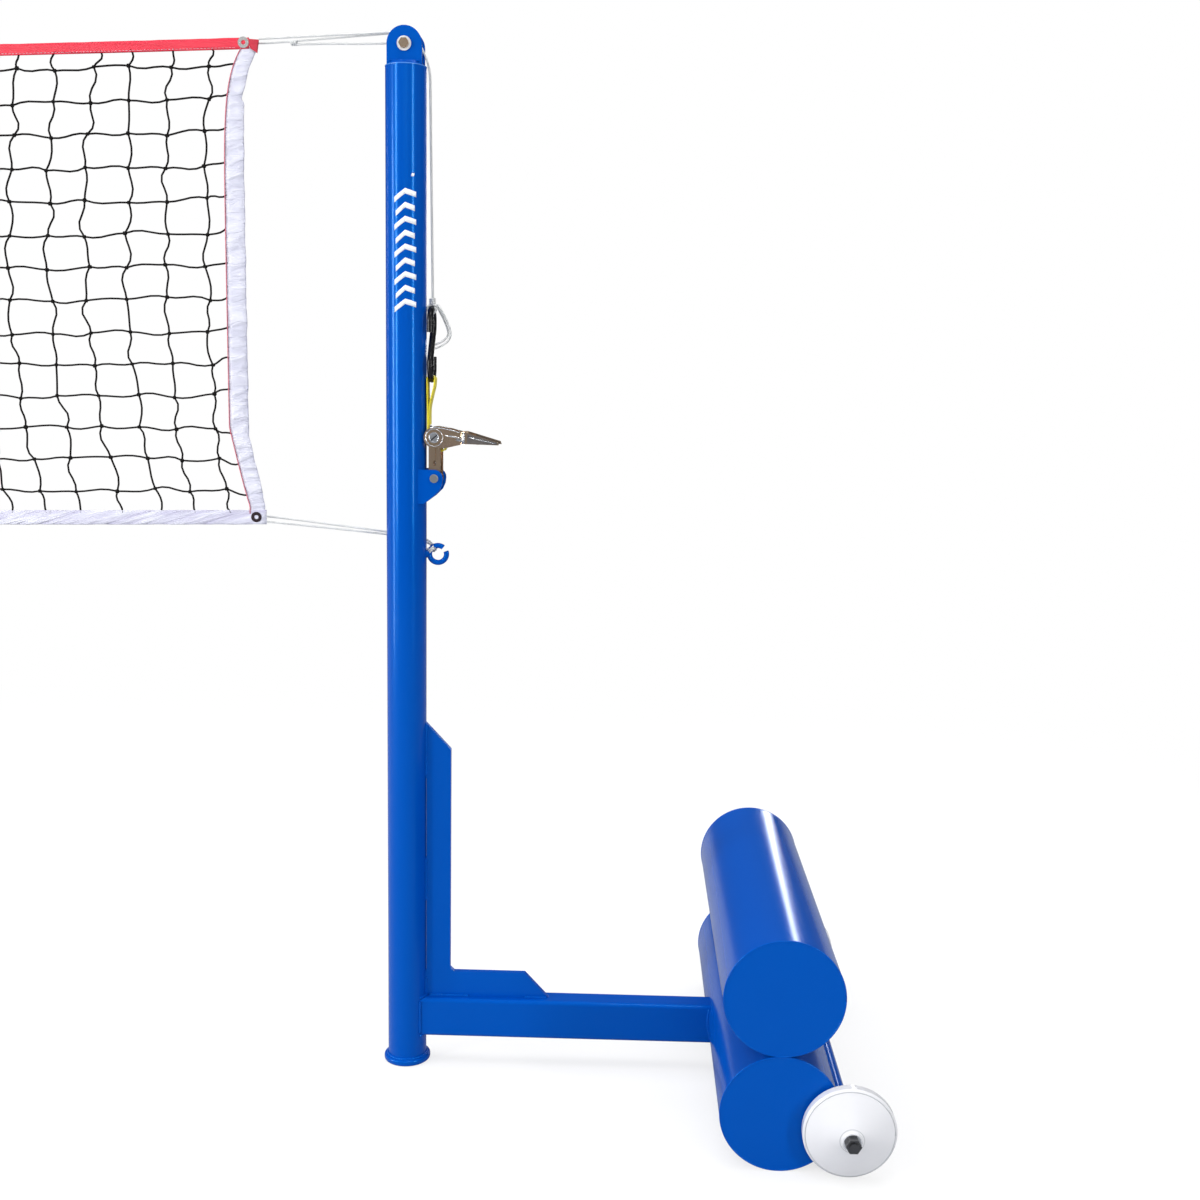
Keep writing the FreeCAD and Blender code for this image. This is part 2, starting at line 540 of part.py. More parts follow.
def make_drum():
    half = "(handle_inner + handle_thick + 0.3 + drum_cap_thick)"
    shaft = rod("drum_shaft", (RATCHET_X, f"-{half}", "drum_height"), "drum_radius", f"2 * {half}")
    caps = [rod(f"drum_cap_{name}", (RATCHET_X, place, "drum_height"), "drum_cap", "drum_cap_thick")
            for name, place in (("front", f"-{half}"), ("rear", f"{half} - drum_cap_thick"))]
    slot = box("drum_webbing_slot", (f"{RATCHET_X} - drum_radius - 1", "-frame_inner + 0.4",
                                     "drum_height - drum_slot / 2"),
               "2 * drum_radius + 2", "2 * frame_inner - 0.8", "drum_slot")
    node(cut("strap_drum_cut", fuse("strap_drum_whole", shaft, *caps), slot), "strap_drum")
    hole = rod("gear_bore", (RATCHET_X, "-20", "drum_height"), "drum_radius", "40")
    wheels = [toothed_wheel(f"gear_{name}", f"{side} * (gear_inner + gear_thick / 2)")
              for name, side in (("front", "-1"), ("rear", "1"))]
    node(cut("drum_gears_cut", group("drum_gears_blank", *wheels), hole), "drum_gears")
    node(tube("strap_wrap_tube", (RATCHET_X, "-strap_wide / 2", "drum_height"), "wrap_outer",
              "drum_radius + 0.1", "strap_wide"), "strap_wrap")


def make_lock_pawl():
    """The lock pawl slides up and down in the frame's slots; its fingers stand just clear of both gears."""
    tip = "(drum_height - gear_tip - pawl_gap)"
    bar = box("lock_pawl_bar", (f"{RATCHET_X} - pawl_thick / 2", "-pawl_half", f"{tip} - 20"), "pawl_thick",
              "2 * pawl_half", "12")
    fingers = [box(f"lock_pawl_finger_{name}", (f"{RATCHET_X} - pawl_thick / 2", place, f"{tip} - 10"),
                   "pawl_thick", "pawl_finger", "10")
               for name, place in (("front", "-pawl_half"), ("rear", "pawl_half - pawl_finger"))]
    node(fuse("lock_pawl_whole", bar, *fingers), "lock_pawl")
    coil("lock_spring", Vector(size(RATCHET_X), 0, size("bracket_height + 13.6")), UPRIGHT,
         size(f"{tip} - 20 - bracket_height - 14.1"))


def coil(label, base, rotation, length):
    """A small compression spring: five turns of fine wire."""
    wire_radius = 0.45
    turn_radius = 2.6
    helix = Part.makeHelix((length - 2 * wire_radius) / 5, length - 2 * wire_radius, turn_radius)
    section = Part.Wire(Part.makeCircle(wire_radius, Vector(turn_radius, 0, 0), Vector(0, 1, 0)))
    spring = Part.Wire(helix).makePipeShell([section], True, True)
    spring.Placement = Placement(base, rotation) * Placement(Vector(0, 0, wire_radius), UPRIGHT)
    shape_node(label, spring)


def handle_side(name):
    """Side view of the handle about the drum's axis: a round end running out to a tapered grip."""
    return plate(name, [("0", "-handle_round"), ("18.5", "-15"), ("44", "-8.8"), ("50", "-8.6"),
                        ("handle_long", "-9.5"), ("handle_long - 1.5", "-5"), ("45", "9.5"), ("37", "9"),
                        ("22", "13"), ("0", "handle_round")], "80", (RATCHET_X, "0", "drum_height"))


def make_handle():
    """Sheet-metal sides that step outwards beyond the joggle, joined by a cross web and a folded grip."""
    step = "joggle_start + joggle_long"
    reach = "handle_long + 20"
    strips = []
    for name, side in (("front", "-1"), ("rear", "1")):
        inner, outer = f"{side} * handle_inner", f"{side} * (handle_inner + handle_thick)"
        flared, flared_out = f"{inner} + {side} * handle_flare", f"{outer} + {side} * handle_flare"
        strips.append(plate(f"handle_{name}_strip", [
            ("-30", inner), ("joggle_start", inner), (step, flared), (reach, flared), (reach, flared_out),
            (step, flared_out), ("joggle_start", outer), ("-30", outer)], "90",
            (RATCHET_X, "0", "drum_height"), plane="XY_Plane"))
    profile = handle_side("handle_profile")
    crown = rod("handle_crown", (RATCHET_X, "-40", "drum_height"), "handle_round", "80")
    side_shape = fuse("handle_side_shape", profile, crown)
    sides = doc.addObject("Part::Common", "handle_sides")
    sides.Base = group("handle_strips", *strips)
    sides.Tool = side_shape
    web = box("handle_web", (f"{RATCHET_X} + 14", "-handle_inner - 0.5", "drum_height + 9.4"), "12",
              "2 * handle_inner + 1", "2")
    seat = release_box("release_spring_seat", "gear_tip + pawl_gap + 50", "2", "7",
                       "handle_inner + handle_flare + 0.5")
    drum_hole = rod("handle_drum_hole", (RATCHET_X, "-30", "drum_height"), "drum_radius + running_gap", "60")
    slot = release_box("handle_pawl_slot", "gear_tip + 19", "30", "pawl_thick + 0.5", "22.6")
    node(cut("ratchet_handle_cut", fuse("ratchet_handle_whole", sides, web, seat), drum_hole, slot), "ratchet_handle")
    grip = plate("grip_outline", [("60", "-7"), ("handle_long - 4", "-8"), ("handle_long - 4", "-6.2"),
                                  ("60", "4")], "2 * (handle_inner + handle_flare) - 0.4",
                 (RATCHET_X, "0", "drum_height"))
    hollow = plate("grip_hollow", [("58", "-7.8"), ("handle_long - 9", "-9.4"), ("handle_long - 9", "-7"),
                                   ("62", "1.2")], "2 * (handle_inner + handle_flare) - 6",
                   (RATCHET_X, "0", "drum_height"))
    clearance = release_box("grip_seat_gap", "gear_tip + pawl_gap + 49.7", "2.6", "7.6", "handle_inner + handle_flare")
    node(cut("handle_grip_cut", grip, hollow, clearance), "handle_grip")


def release_box(name, start, long, thick, half_wide):
    """A box lying along the tilted handle, from a distance off the drum's axis."""
    tilt = "handle_tilt"
    place = (f"{RATCHET_X} + ({start}) * cos({tilt}) - ({thick}) / 2 * sin({tilt})", f"-({half_wide})",
             f"drum_height - ({start}) * sin({tilt}) - ({thick}) / 2 * cos({tilt})")
    block = box(name, place, long, f"2 * ({half_wide})", thick)
    block.Placement = Placement(block.Placement.Base, Rotation(Vector(0, 1, 0), size(tilt)))
    return block


def make_release_pawl():
    """The release pawl slides along the handle and drops between the teeth of both gears."""
    nose = "(gear_tip + pawl_gap)"
    arm = release_box("release_arm", f"{nose} + 9.5", "28", "pawl_thick", "pawl_half")
    ears = release_box("release_ears", f"{nose} + 19.5", "16", "pawl_thick", "handle_inner + handle_thick + 1.4")
    fingers = []
    for name, side in (("front", "-1"), ("rear", "1")):
        finger = release_box(f"release_finger_{name}", nose, "12", "pawl_thick", "pawl_finger / 2")
        finger.setExpression("Placement.Base.y",
                             linked(f"{side} * (pawl_half - pawl_finger / 2) - pawl_finger / 2"))
        fingers.append(finger)
    pull = release_box("release_pull", f"{nose} + 35.5", "3", "9", "12")
    node(fuse("release_pawl_whole", arm, ears, *fingers, pull), "release_pawl")
    tilt = math.radians(size("handle_tilt"))
    start = size(f"{nose} + 38.7")
    base = Vector(size(RATCHET_X) + start * math.cos(tilt), 0, size("drum_height") - start * math.sin(tilt))
    coil("release_spring", base, Rotation(Vector(0, 1, 0), 90 + size("handle_tilt")), 11.1)


# ---------------------------------------------------------------------------------------------------------------
# S-hook, webbing and ropes
# ---------------------------------------------------------------------------------------------------------------
def make_s_hook():
    across = size(POST_FACE + " + hook_gap")
    low, high, half = size("hook_low"), size("hook_high"), size("hook_eye")
    bend = half - 0.5
    points = [(across, half, low + 34), (across, half, low), (across, -half, low), (across, -half, low + 27),
              (across, half, high - 27), (across, half, high), (across, -half, high), (across, -half, high - 34)]
    bends = {1: bend, 2: bend, 3: 14.0, 4: 14.0, 5: bend, 6: bend}
    shape_node("s_hook", cord("s_hook", points, size("hook_rod"), bends))


def strap_section(point, step):
    """The webbing's flat cross-section at the start of a route in the XZ plane."""
    half_wide, half_thick = size("strap_wide / 2"), size("strap_thick / 2")
    normal = step.cross(Vector(0, 1, 0))
    normal.normalize()
    corners = [point + normal * across + Vector(0, along, 0) for across, along in (
        (half_thick, half_wide), (half_thick, -half_wide), (-half_thick, -half_wide), (-half_thick, half_wide))]
    return Part.makePolygon(corners + corners[:1])


def webbing(name, points, bends=None):
    start = Vector(*points[0])
    return swept(name, points, strap_section(start, Vector(*points[1]) - start), bends)


def make_straps():
    round_hook = size("hook_rod + strap_thick / 2 + 0.3")
    top = size("hook_low") + round_hook
    near, far = size(POST_FACE + " + hook_gap") - round_hook, size(POST_FACE + " + hook_gap") + round_hook
    inner = size(POST_FACE + " + strap_gap")
    outer = inner + size("strap_thick + ply_gap")
    shape_node("tension_strap", webbing("tension_strap", [
        (inner, 0, size("drum_height")), (inner, 0, 1044.0), (near, 0, top), (far, 0, top),
        (outer, 0, 1046.0), (outer, 0, 1013.0)], {2: round_hook - 0.1, 3: round_hook - 0.1}))
    drum = size(RATCHET_X)
    height = size("drum_height")
    shape_node("strap_tail", webbing("strap_tail", [
        (drum + 11.6, 0, height - 3.0), (drum + 15.5, 0, height - 9.0), (drum + 15.0, 0, height - 17.5),
        (drum + 8.5, 0, height - 20.5), (drum + 4.6, 0, height - 14.0)], {2: 4.0, 3: 3.5}))


# Routes of the ropes about the right post's axis: (across, along, up).
HEADLINE_HEAD = [(-213.8, 0.0, 1562.5), (12.3, -2.2, 1576.2), (35.0, -2.2, 1527.0)]
LASHING_HEAD = [(-236.0, -0.5, 1557.0), (-236.0, 7.0, 1557.2), (-222.0, 7.6, 1557.8), (-190.0, 5.4, 1558.9),
                (12.1, 2.2, 1576.5), (35.0, 2.2, 1527.0)]
LASHING_TAIL = [(-160.0, 4.8, 1556.6), (-112.0, 4.4, 1558.6), (-64.0, 2.6, 1558.2), (-28.0, 2.0, 1559.4)]
LOOP_OUTER = [(46.4, -1.5, 1190.4), (51.6, -2.0, 1183.6), (61.5, -3.0, 1166.0), (68.0, -3.4, 1148.0),
              (63.0, -3.4, 1136.5), (52.0, -3.0, 1129.0), (43.2, -3.0, 1125.5)]
LOOP_INNER = [(46.2, 1.5, 1186.6), (50.2, 1.2, 1179.0), (58.0, 0.4, 1164.0), (63.5, 0.2, 1149.0),
              (59.5, 0.2, 1140.5), (51.0, 0.2, 1134.5), (43.2, 0.4, 1131.5)]
BOTTOM_UPPER = [(-229.0, 0.5, 868.0), (-229.0, 7.0, 868.6), (-214.0, 9.6, 868.8), (-40.0, 33.5, 846.5),
                (-10.0, 36.5, 842.4), (19.0, 33.5, 838.6), (36.0, 22.0, 832.0), (39.5, 14.4, 827.5)]
BOTTOM_LOWER = [(-213.8, 0.0, 861.0), (-150.0, 13.0, 854.6), (-40.0, 33.5, 842.6), (-10.0, 36.5, 838.6),
                (19.0, 33.5, 834.6), (36.0, 22.0, 827.6), (39.5, 14.6, 823.4)]


def right_of(points):
    post = size(POST)
    return [(post + across, along, up) for across, along, up in points]


def make_ropes():
    pulley = size("groove_radius + rope_radius") + 0.3
    hitch = [(39.4, -2.2, 1199.4)]
    cleat = [(44.4, -2.2, 951.6)]
    hitch_rear = [(39.4, 2.2, 1199.4)]
    cleat_rear = [(44.4, 2.2, 951.6)]
    shape_node("headline_rope_right", cord("headline_rope_right", right_of(HEADLINE_HEAD + hitch), bends={1: pulley}))
    shape_node("lashing_rope_right", cord("lashing_rope_right", right_of(LASHING_HEAD + hitch_rear),
                                          bends={4: pulley}))
    shape_node("headline_rope_left", cord("headline_rope_left", mirrored(right_of(HEADLINE_HEAD + cleat)),
                                          bends={1: pulley}))
    shape_node("lashing_rope_left", cord("lashing_rope_left", mirrored(right_of(LASHING_HEAD + cleat_rear)),
                                         bends={4: pulley}))
    shape_node("lashing_tail", cord("lashing_tail", right_of(LASHING_TAIL)))
    shape_node("hitch_loop_outer", cord("hitch_loop_outer", right_of(LOOP_OUTER)))
    shape_node("hitch_loop_inner", cord("hitch_loop_inner", right_of(LOOP_INNER)))
    for side, turn in (("right", list), ("left", mirrored)):
        for name, points in (("upper", BOTTOM_UPPER), ("lower", BOTTOM_LOWER)):
            label = f"bottom_rope_{name}_{side}"
            shape_node(label, cord(label, turn(right_of(points))))


def make_knots():
    """Plain lumps where the ropes are tied: at the S-hook, on the left spacer and behind each open eye."""
    lumps = [rod("hitch_knot", (f"{POST_FACE} + hook_gap + 1.2", "0", "1188.6"), "5.2", "10.5", UPRIGHT),
             rod("spacer_knot", ("-" + RATCHET_X, "0", "939.2"), "5.2", "12", UPRIGHT)]
    for name, sign in (("right", ""), ("left", "-")):
        lumps.append(primitive("Sphere", f"eye_knot_{name}", (f"{sign}({POST_FACE} + eye_gap - 7.3)", "9.2", "824.6"),
                               Radius="4.8"))
    node(group("rope_knots_group", *[rounded(lump.Name + "_round", lump, 2.0, 2, 3) if "eye" not in lump.Name
                                     else lump for lump in lumps]), "rope_knots")


# ---------------------------------------------------------------------------------------------------------------
# Net: plain thin solids with the true outline
# ---------------------------------------------------------------------------------------------------------------
def net_line(corner, sag, across):
    """Height of a sagging edge at a distance from the net's middle."""
    return corner - sag * (1 - (across / size("net_length / 2")) ** 2)


def sagging_edge(corner, sag, left, right):
    return Part.Arc(Vector(left, 0, net_line(corner, sag, left)), Vector(0, 0, net_line(corner, sag, 0)),
                    Vector(right, 0, net_line(corner, sag, right))).toShape()


def cloth(edges, thick):
    """A flat closed outline in the XZ plane, thickened evenly both ways."""
    face = Part.Face(Part.Wire(Part.__sortEdges__(edges)))
    face.translate(Vector(0, -thick / 2, 0))
    return face.extrude(Vector(0, thick, 0))


def band(corner, sag, high, thick):
    """A horizontal tape from corner to corner."""
    half = size("net_length / 2")
    low = corner - high
    edges = [sagging_edge(corner, sag, -half, half), sagging_edge(low, sag, -half, half)]
    edges += [Part.LineSegment(Vector(across, 0, low), Vector(across, 0, corner)).toShape()
              for across in (-half, half)]
    return cloth(edges, thick)


def side_edge(inset, bow, high, low):
    """The bowed edge of the right side tape, as a distance in from the net's end."""
    across = size("net_length / 2") - inset
    return Part.Arc(Vector(across, 0, high), Vector(across - bow, 0, (high + low) / 2),
                    Vector(across, 0, low)).toShape()


def make_net():
    half = size("net_length / 2")
    thick, gap, bow = size("tape_thick"), size("sew_gap"), size("side_bow")
    top, bottom = size("net_top"), size("net_bottom")
    top_sag, bottom_sag = size("sag_top"), size("sag_bottom")
    high = top - size("top_tape") - gap
    low = bottom + size("bottom_tape") + gap
    holes = []
    for inset, middle in ((size("top_eyelet_in"), top - size("top_tape") / 2),
                          (size("bottom_eyelet_in"), bottom + size("bottom_tape") / 2)):
        holes += [Vector(side * (half - inset), -10, middle) for side in (-1, 1)]
    drills = [Part.makeCylinder(size("eyelet_barrel") + 0.02, 20, hole, Vector(0, 1, 0)) for hole in holes]
    shape_node("top_tape", band(top, top_sag, size("top_tape"), thick).cut(drills[:2]))
    shape_node("bottom_tape", band(low - gap, bottom_sag, size("bottom_tape"), thick).cut(drills[2:]))
    outer, inner = size("side_inset"), size("side_inset + side_tape")
    reach = [half - outer, half - inner]
    uppers = [net_line(high, top_sag, across) for across in reach]
    lowers = [net_line(low, bottom_sag, across) for across in reach]
    edges = [side_edge(inset, bow, upper, lower) for inset, upper, lower in zip((outer, inner), uppers, lowers)]
    edges += [Part.LineSegment(Vector(reach[0], 0, ends[0]), Vector(reach[1], 0, ends[1])).toShape()
              for ends in (uppers, lowers)]
    right_tape = cloth(edges, thick)
    shape_node("side_tape_right", right_tape)
    shape_node("side_tape_left", right_tape.mirror(Vector(), Vector(1, 0, 0)))
    end = half - inner - gap
    upper, lower = net_line(high, top_sag, end), net_line(low, bottom_sag, end)
    side = side_edge(inner + gap, bow, upper, lower)
    mesh_edges = [sagging_edge(high, top_sag, -end, end), sagging_edge(low, bottom_sag, -end, end), side,
                  side.mirror(Vector(), Vector(1, 0, 0))]
    shape_node("net_mesh", cloth(mesh_edges, size("net_thick")))
    make_eyelets(holes)


def make_eyelets(holes):
    """Two-lipped metal eyelets through the tapes at the net's corners."""
    lip, half_thick = size("eyelet_lip"), size("tape_thick / 2")
    rings = []
    for hole in holes:
        middle = Vector(hole.x, 0, hole.z)
        bore = Part.makeCylinder(size("eyelet_bore"), 20, middle - Vector(0, 10, 0), Vector(0, 1, 0))
        barrel = Part.makeCylinder(size("eyelet_barrel"), 2 * half_thick, middle - Vector(0, half_thick, 0),
                                   Vector(0, 1, 0))
        lips = [Part.makeCylinder(size("eyelet_outer"), lip, middle + Vector(0, place, 0), Vector(0, 1, 0))
                for place in (-half_thick - lip, half_thick)]
        rings.append(barrel.fuse(lips).cut(bore))
    shape_node("eyelets", Part.makeCompound(rings))


# ---------------------------------------------------------------------------------------------------------------
# Build, check and write
# ---------------------------------------------------------------------------------------------------------------
def write_nodes():
    doc.recompute()
    failed = [piece.Name for piece in doc.Objects if {"Invalid", "Error"} & set(piece.State)]
    if failed:
        raise RuntimeError("failed objects: " + ", ".join(failed))
    bad = [piece.Label for piece in NODES
           if piece.Shape.isNull() or not piece.Shape.isValid() or not piece.Shape.Solids]
    if bad:
        raise RuntimeError("bad shapes: " + ", ".join(bad))
    os.makedirs("parts", exist_ok=True)
    for piece in NODES:
        piece.Shape.exportStep(f"parts/{piece.Label}.step")
    print(f"{len(NODES)} nodes, {sum(len(piece.Shape.Solids) for piece in NODES)} solids")


make_post()
sheave_washers = make_head()
make_open_eye()
make_gusset()
make_beam()
make_weights()
make_weight_beads()
make_axle()
make_wheels()
make_bracket(sheave_washers)
make_nuts()
make_ratchet_frame()
make_drum()
make_lock_pawl()
make_handle()
make_release_pawl()
make_s_hook()
make_straps()
make_ropes()
make_knots()
make_net()
write_nodes()
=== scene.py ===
"""Looks for the volleyball net set: painted steel posts, knotted netting, ropes, webbing and tension gear."""

import json
import math
import random

import bpy
from mathutils import Matrix, Vector


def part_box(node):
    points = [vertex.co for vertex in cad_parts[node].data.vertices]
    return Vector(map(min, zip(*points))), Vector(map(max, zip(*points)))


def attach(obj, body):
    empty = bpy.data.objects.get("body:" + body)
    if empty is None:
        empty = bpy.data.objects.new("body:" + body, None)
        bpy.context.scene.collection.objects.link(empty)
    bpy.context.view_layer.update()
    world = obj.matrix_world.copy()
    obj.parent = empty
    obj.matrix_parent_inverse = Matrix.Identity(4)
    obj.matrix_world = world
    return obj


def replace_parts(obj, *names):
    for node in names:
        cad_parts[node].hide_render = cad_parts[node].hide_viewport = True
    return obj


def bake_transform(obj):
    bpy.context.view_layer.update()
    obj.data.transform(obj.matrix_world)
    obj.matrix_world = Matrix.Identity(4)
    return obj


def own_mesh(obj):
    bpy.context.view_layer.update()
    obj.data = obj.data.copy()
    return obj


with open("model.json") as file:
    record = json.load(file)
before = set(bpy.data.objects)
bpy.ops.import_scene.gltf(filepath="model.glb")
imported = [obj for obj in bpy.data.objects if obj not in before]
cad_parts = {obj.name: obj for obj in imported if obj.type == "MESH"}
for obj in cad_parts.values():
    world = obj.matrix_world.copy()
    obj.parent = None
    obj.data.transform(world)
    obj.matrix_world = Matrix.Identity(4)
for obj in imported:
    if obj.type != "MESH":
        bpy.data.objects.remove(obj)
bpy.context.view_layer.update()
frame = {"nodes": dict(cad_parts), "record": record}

# ---- Driving dimensions, in metres, about the right post's axis unless they say otherwise ----
POST_RADIUS = 0.03015
SHEAVE_RADIUS = 0.022
POST_X = (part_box("post_tube")[1][0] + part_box("sheave_right")[0][0] + SHEAVE_RADIUS - POST_RADIUS) / 2
SHEAVE_HEIGHT = 1.5556
DRUM = (0.0445, 0.9943)
WEIGHT_RADIUS = 0.08415
WEIGHT_X = 0.565
NET_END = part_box("top_tape")[1][0]
NET_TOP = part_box("top_tape")[1][2]
NET_BOTTOM = 0.857
TOP_SAG = 0.066
BOTTOM_SAG = 0.036
TOP_TAPE = 0.016
BOTTOM_TAPE = 0.022
EYELETS = {"top": (NET_END - 0.022, NET_TOP - 0.008), "bottom": (NET_END - 0.015, NET_BOTTOM + 0.011)}
ROPE = 0.003
BODY = "stand"
SIDES = (1, -1)
SIDE_WORD = {1: "right", -1: "left"}


# ---- Camera ----
def make_camera():
    """The camera stands beside the net, a little right of the near post and below its top."""
    yaw, pitch, roll = -0.0179, -0.1525, 0.0195
    forward = Vector((math.sin(yaw) * math.cos(pitch), math.cos(yaw) * math.cos(pitch), math.sin(pitch)))
    level = Vector((math.cos(yaw), -math.sin(yaw), 0))
    upright = level.cross(forward)
    right = level * math.cos(roll) + upright * math.sin(roll)
    up = upright * math.cos(roll) - level * math.sin(roll)
    camera = bpy.data.objects.new("camera", bpy.data.cameras.new("camera"))
    camera.data.sensor_width = 36.0
    camera.data.lens = 42.386
    camera.data.clip_end = 200.0
    turn = Matrix((right, up, -forward)).transposed().to_4x4()
    camera.matrix_world = Matrix.Translation((POST_X + 0.33436, -2.13446, 1.07987)) @ turn
    bpy.context.scene.collection.objects.link(camera)
    bpy.context.scene.camera = camera


# ---- Shared shader groups: each gives colours, masks and heights that change over the surface ----
def add_node(tree, kind, label="", feeds=(), **settings):
    """A node with properties and inputs set; sockets are linked, and feeds go to the inputs in order."""
    node = tree.nodes.new(kind)
    node.label = label
    for key, value in settings.items():
        title = key.replace("_", " ")
        if title not in node.inputs:
            setattr(node, key, value)
        elif isinstance(value, bpy.types.NodeSocket):
            tree.links.new(value, node.inputs[title])
        else:
            node.inputs[title].default_value = value
    for index, source in enumerate(feeds):
        tree.links.new(source, node.inputs[index])
    return node


def new_group(name, inputs, outputs):
    """A shader node group with named float or colour sockets, and where its surface positions come from."""
    group = bpy.data.node_groups.new(name, "ShaderNodeTree")
    for title, value in inputs.items():
        kind = "NodeSocketColor" if isinstance(value, tuple) else "NodeSocketFloat"
        group.interface.new_socket(title, in_out="INPUT", socket_type=kind).default_value = value
    for title in outputs:
        kind = "NodeSocketColor" if title == "Color" else "NodeSocketFloat"
        group.interface.new_socket(title, in_out="OUTPUT", socket_type=kind)
    given = group.nodes.new("NodeGroupInput").outputs
    return group, given, add_node(group, "ShaderNodeTexCoord").outputs["Object"]


def close_group(group, **results):
    """Links results to the group's outputs."""
    end = group.nodes.new("NodeGroupOutput")
    for title, source in results.items():
        group.links.new(source, end.inputs[title])
    return group


def mottle_group():
    """Large soft patches and small specks that shift a colour and its roughness a little."""
    group, given, place = new_group("mottle", {"Color": (0.5, 0.5, 0.5, 1.0), "Tint": (0.4, 0.4, 0.4, 1.0),
            "Scale": 6.0, "Amount": 0.3, "Roughness": 0.4, "Spread": 0.1}, ("Color", "Roughness"))
    patches = add_node(group, "ShaderNodeTexNoise", "patches", Detail=5.0, Roughness=0.6, Vector=place,
            Scale=given["Scale"]).outputs["Fac"]
    weight = add_node(group, "ShaderNodeMath", operation="MULTIPLY", feeds=(patches, given["Amount"]))
    mix = add_node(group, "ShaderNodeMix", data_type="RGBA", Factor=weight.outputs[0], A=given["Color"],
            B=given["Tint"])
    spread = add_node(group, "ShaderNodeMath", operation="MULTIPLY_ADD",
            feeds=(patches, given["Spread"], given["Roughness"]))
    return close_group(group, Color=mix.outputs["Result"], Roughness=spread.outputs[0])


def grain_group():
    """Fine bumps of one size, such as orange peel in paint or the skin of a moulding."""
    group, given, place = new_group("grain", {"Scale": 400.0, "Stretch": 1.0}, ("Height",))
    parts = add_node(group, "ShaderNodeSeparateXYZ", feeds=(place,)).outputs
    squeeze = add_node(group, "ShaderNodeMath", operation="MULTIPLY", feeds=(parts["Z"], given["Stretch"]))
    joined = add_node(group, "ShaderNodeCombineXYZ", X=parts["X"], Y=parts["Y"], Z=squeeze.outputs[0])
    grains = add_node(group, "ShaderNodeTexNoise", "grain", Detail=2.0, Vector=joined.outputs[0],
            Scale=given["Scale"])
    return close_group(group, Height=grains.outputs["Fac"])


def weave_group():
    """Crossing threads: a raised over-and-under pattern and the shade that gathers between threads."""
    group, given, place = new_group("weave", {"Threads": 900.0, "Ribs": 500.0}, ("Height", "Shade"))
    parts = add_node(group, "ShaderNodeSeparateXYZ", feeds=(place,)).outputs
    flat = add_node(group, "ShaderNodeMath", operation="ADD", feeds=(parts["X"], parts["Y"]))
    waves = []
    for along, count in ((flat.outputs[0], "Threads"), (parts["Z"], "Ribs")):
        turns = add_node(group, "ShaderNodeMath", operation="MULTIPLY", feeds=(along, given[count]))
        waves.append(add_node(group, "ShaderNodeMath", operation="SINE",
                feeds=(turns.outputs[0],)).outputs[0])
    cross = add_node(group, "ShaderNodeMath", operation="MULTIPLY", feeds=waves).outputs[0]
    shade = add_node(group, "ShaderNodeMapRange", From_Min=-1.0, Value=cross)
    return close_group(group, Height=cross, Shade=shade.outputs[0])


def rucks_group():
    """Long creases in a cloth tape, leaning at an angle to the tape: their height and the shade in them."""
    group, given, place = new_group("rucks", {"Lean": 0.0, "Along": 14.0, "Across": 90.0},
            ("Height", "Shade"))
    turned = add_node(group, "ShaderNodeVectorRotate", rotation_type="Y_AXIS", Vector=place,
            Angle=given["Lean"])
    stretch = add_node(group, "ShaderNodeCombineXYZ", X=given["Along"], Y=given["Along"], Z=given["Across"])
    scaled = add_node(group, "ShaderNodeVectorMath", operation="MULTIPLY",
            feeds=(turned.outputs["Vector"], stretch.outputs["Vector"]))
    crease = add_node(group, "ShaderNodeTexNoise", "creases", Scale=1.0, Detail=3.0, Distortion=0.6,
            Vector=scaled.outputs["Vector"]).outputs["Fac"]
    shade = add_node(group, "ShaderNodeMapRange", From_Min=0.34, From_Max=0.62, Value=crease)
    return close_group(group, Height=crease, Shade=shade.outputs["Result"])


MOTTLE = mottle_group()
GRAIN = grain_group()
WEAVE = weave_group()
RUCKS = rucks_group()


def grain(scale):
    return GRAIN, {"Scale": scale}


def threads(count, ribs=None):
    return WEAVE, {"Threads": count, "Ribs": ribs or count}


def use_group(tree, group, **values):
    node = add_node(tree, "ShaderNodeGroup")
    node.node_tree = group
    for key, value in values.items():
        node.inputs[key].default_value = value
    return node


def finish_material(name, color, tint=None, amount=0.3, patch=6.0, roughness=0.4, spread=0.1, bump=None,
        bump_depth=0.0002, strength=0.4, **surface):
    """A Principled material whose colour and roughness come through the mottle group."""
    made = bpy.data.materials.new(name)
    made.use_nodes = True
    tree = made.node_tree
    shader = tree.nodes["Principled BSDF"]
    for key, value in surface.items():
        shader.inputs[key.replace("_", " ")].default_value = value
    mottle = use_group(tree, MOTTLE, Color=(*color, 1.0), Tint=(*(tint or color), 1.0), Scale=patch,
            Amount=amount, Roughness=roughness - spread / 2, Spread=spread)
    tree.links.new(mottle.outputs["Color"], shader.inputs["Base Color"])
    tree.links.new(mottle.outputs["Roughness"], shader.inputs["Roughness"])
    if bump:
        group, values = bump
        source = use_group(tree, group, **values)
        relief = add_node(tree, "ShaderNodeBump", Distance=bump_depth, Strength=strength,
                Height=source.outputs["Height"])
        tree.links.new(relief.outputs["Normal"], shader.inputs["Normal"])
    return made


def coloring(made):
    """A material's node tree, its shader and the socket that colours it."""
    tree = made.node_tree
    shader = tree.nodes["Principled BSDF"]
    return tree, shader, shader.inputs["Base Color"].links[0].from_socket


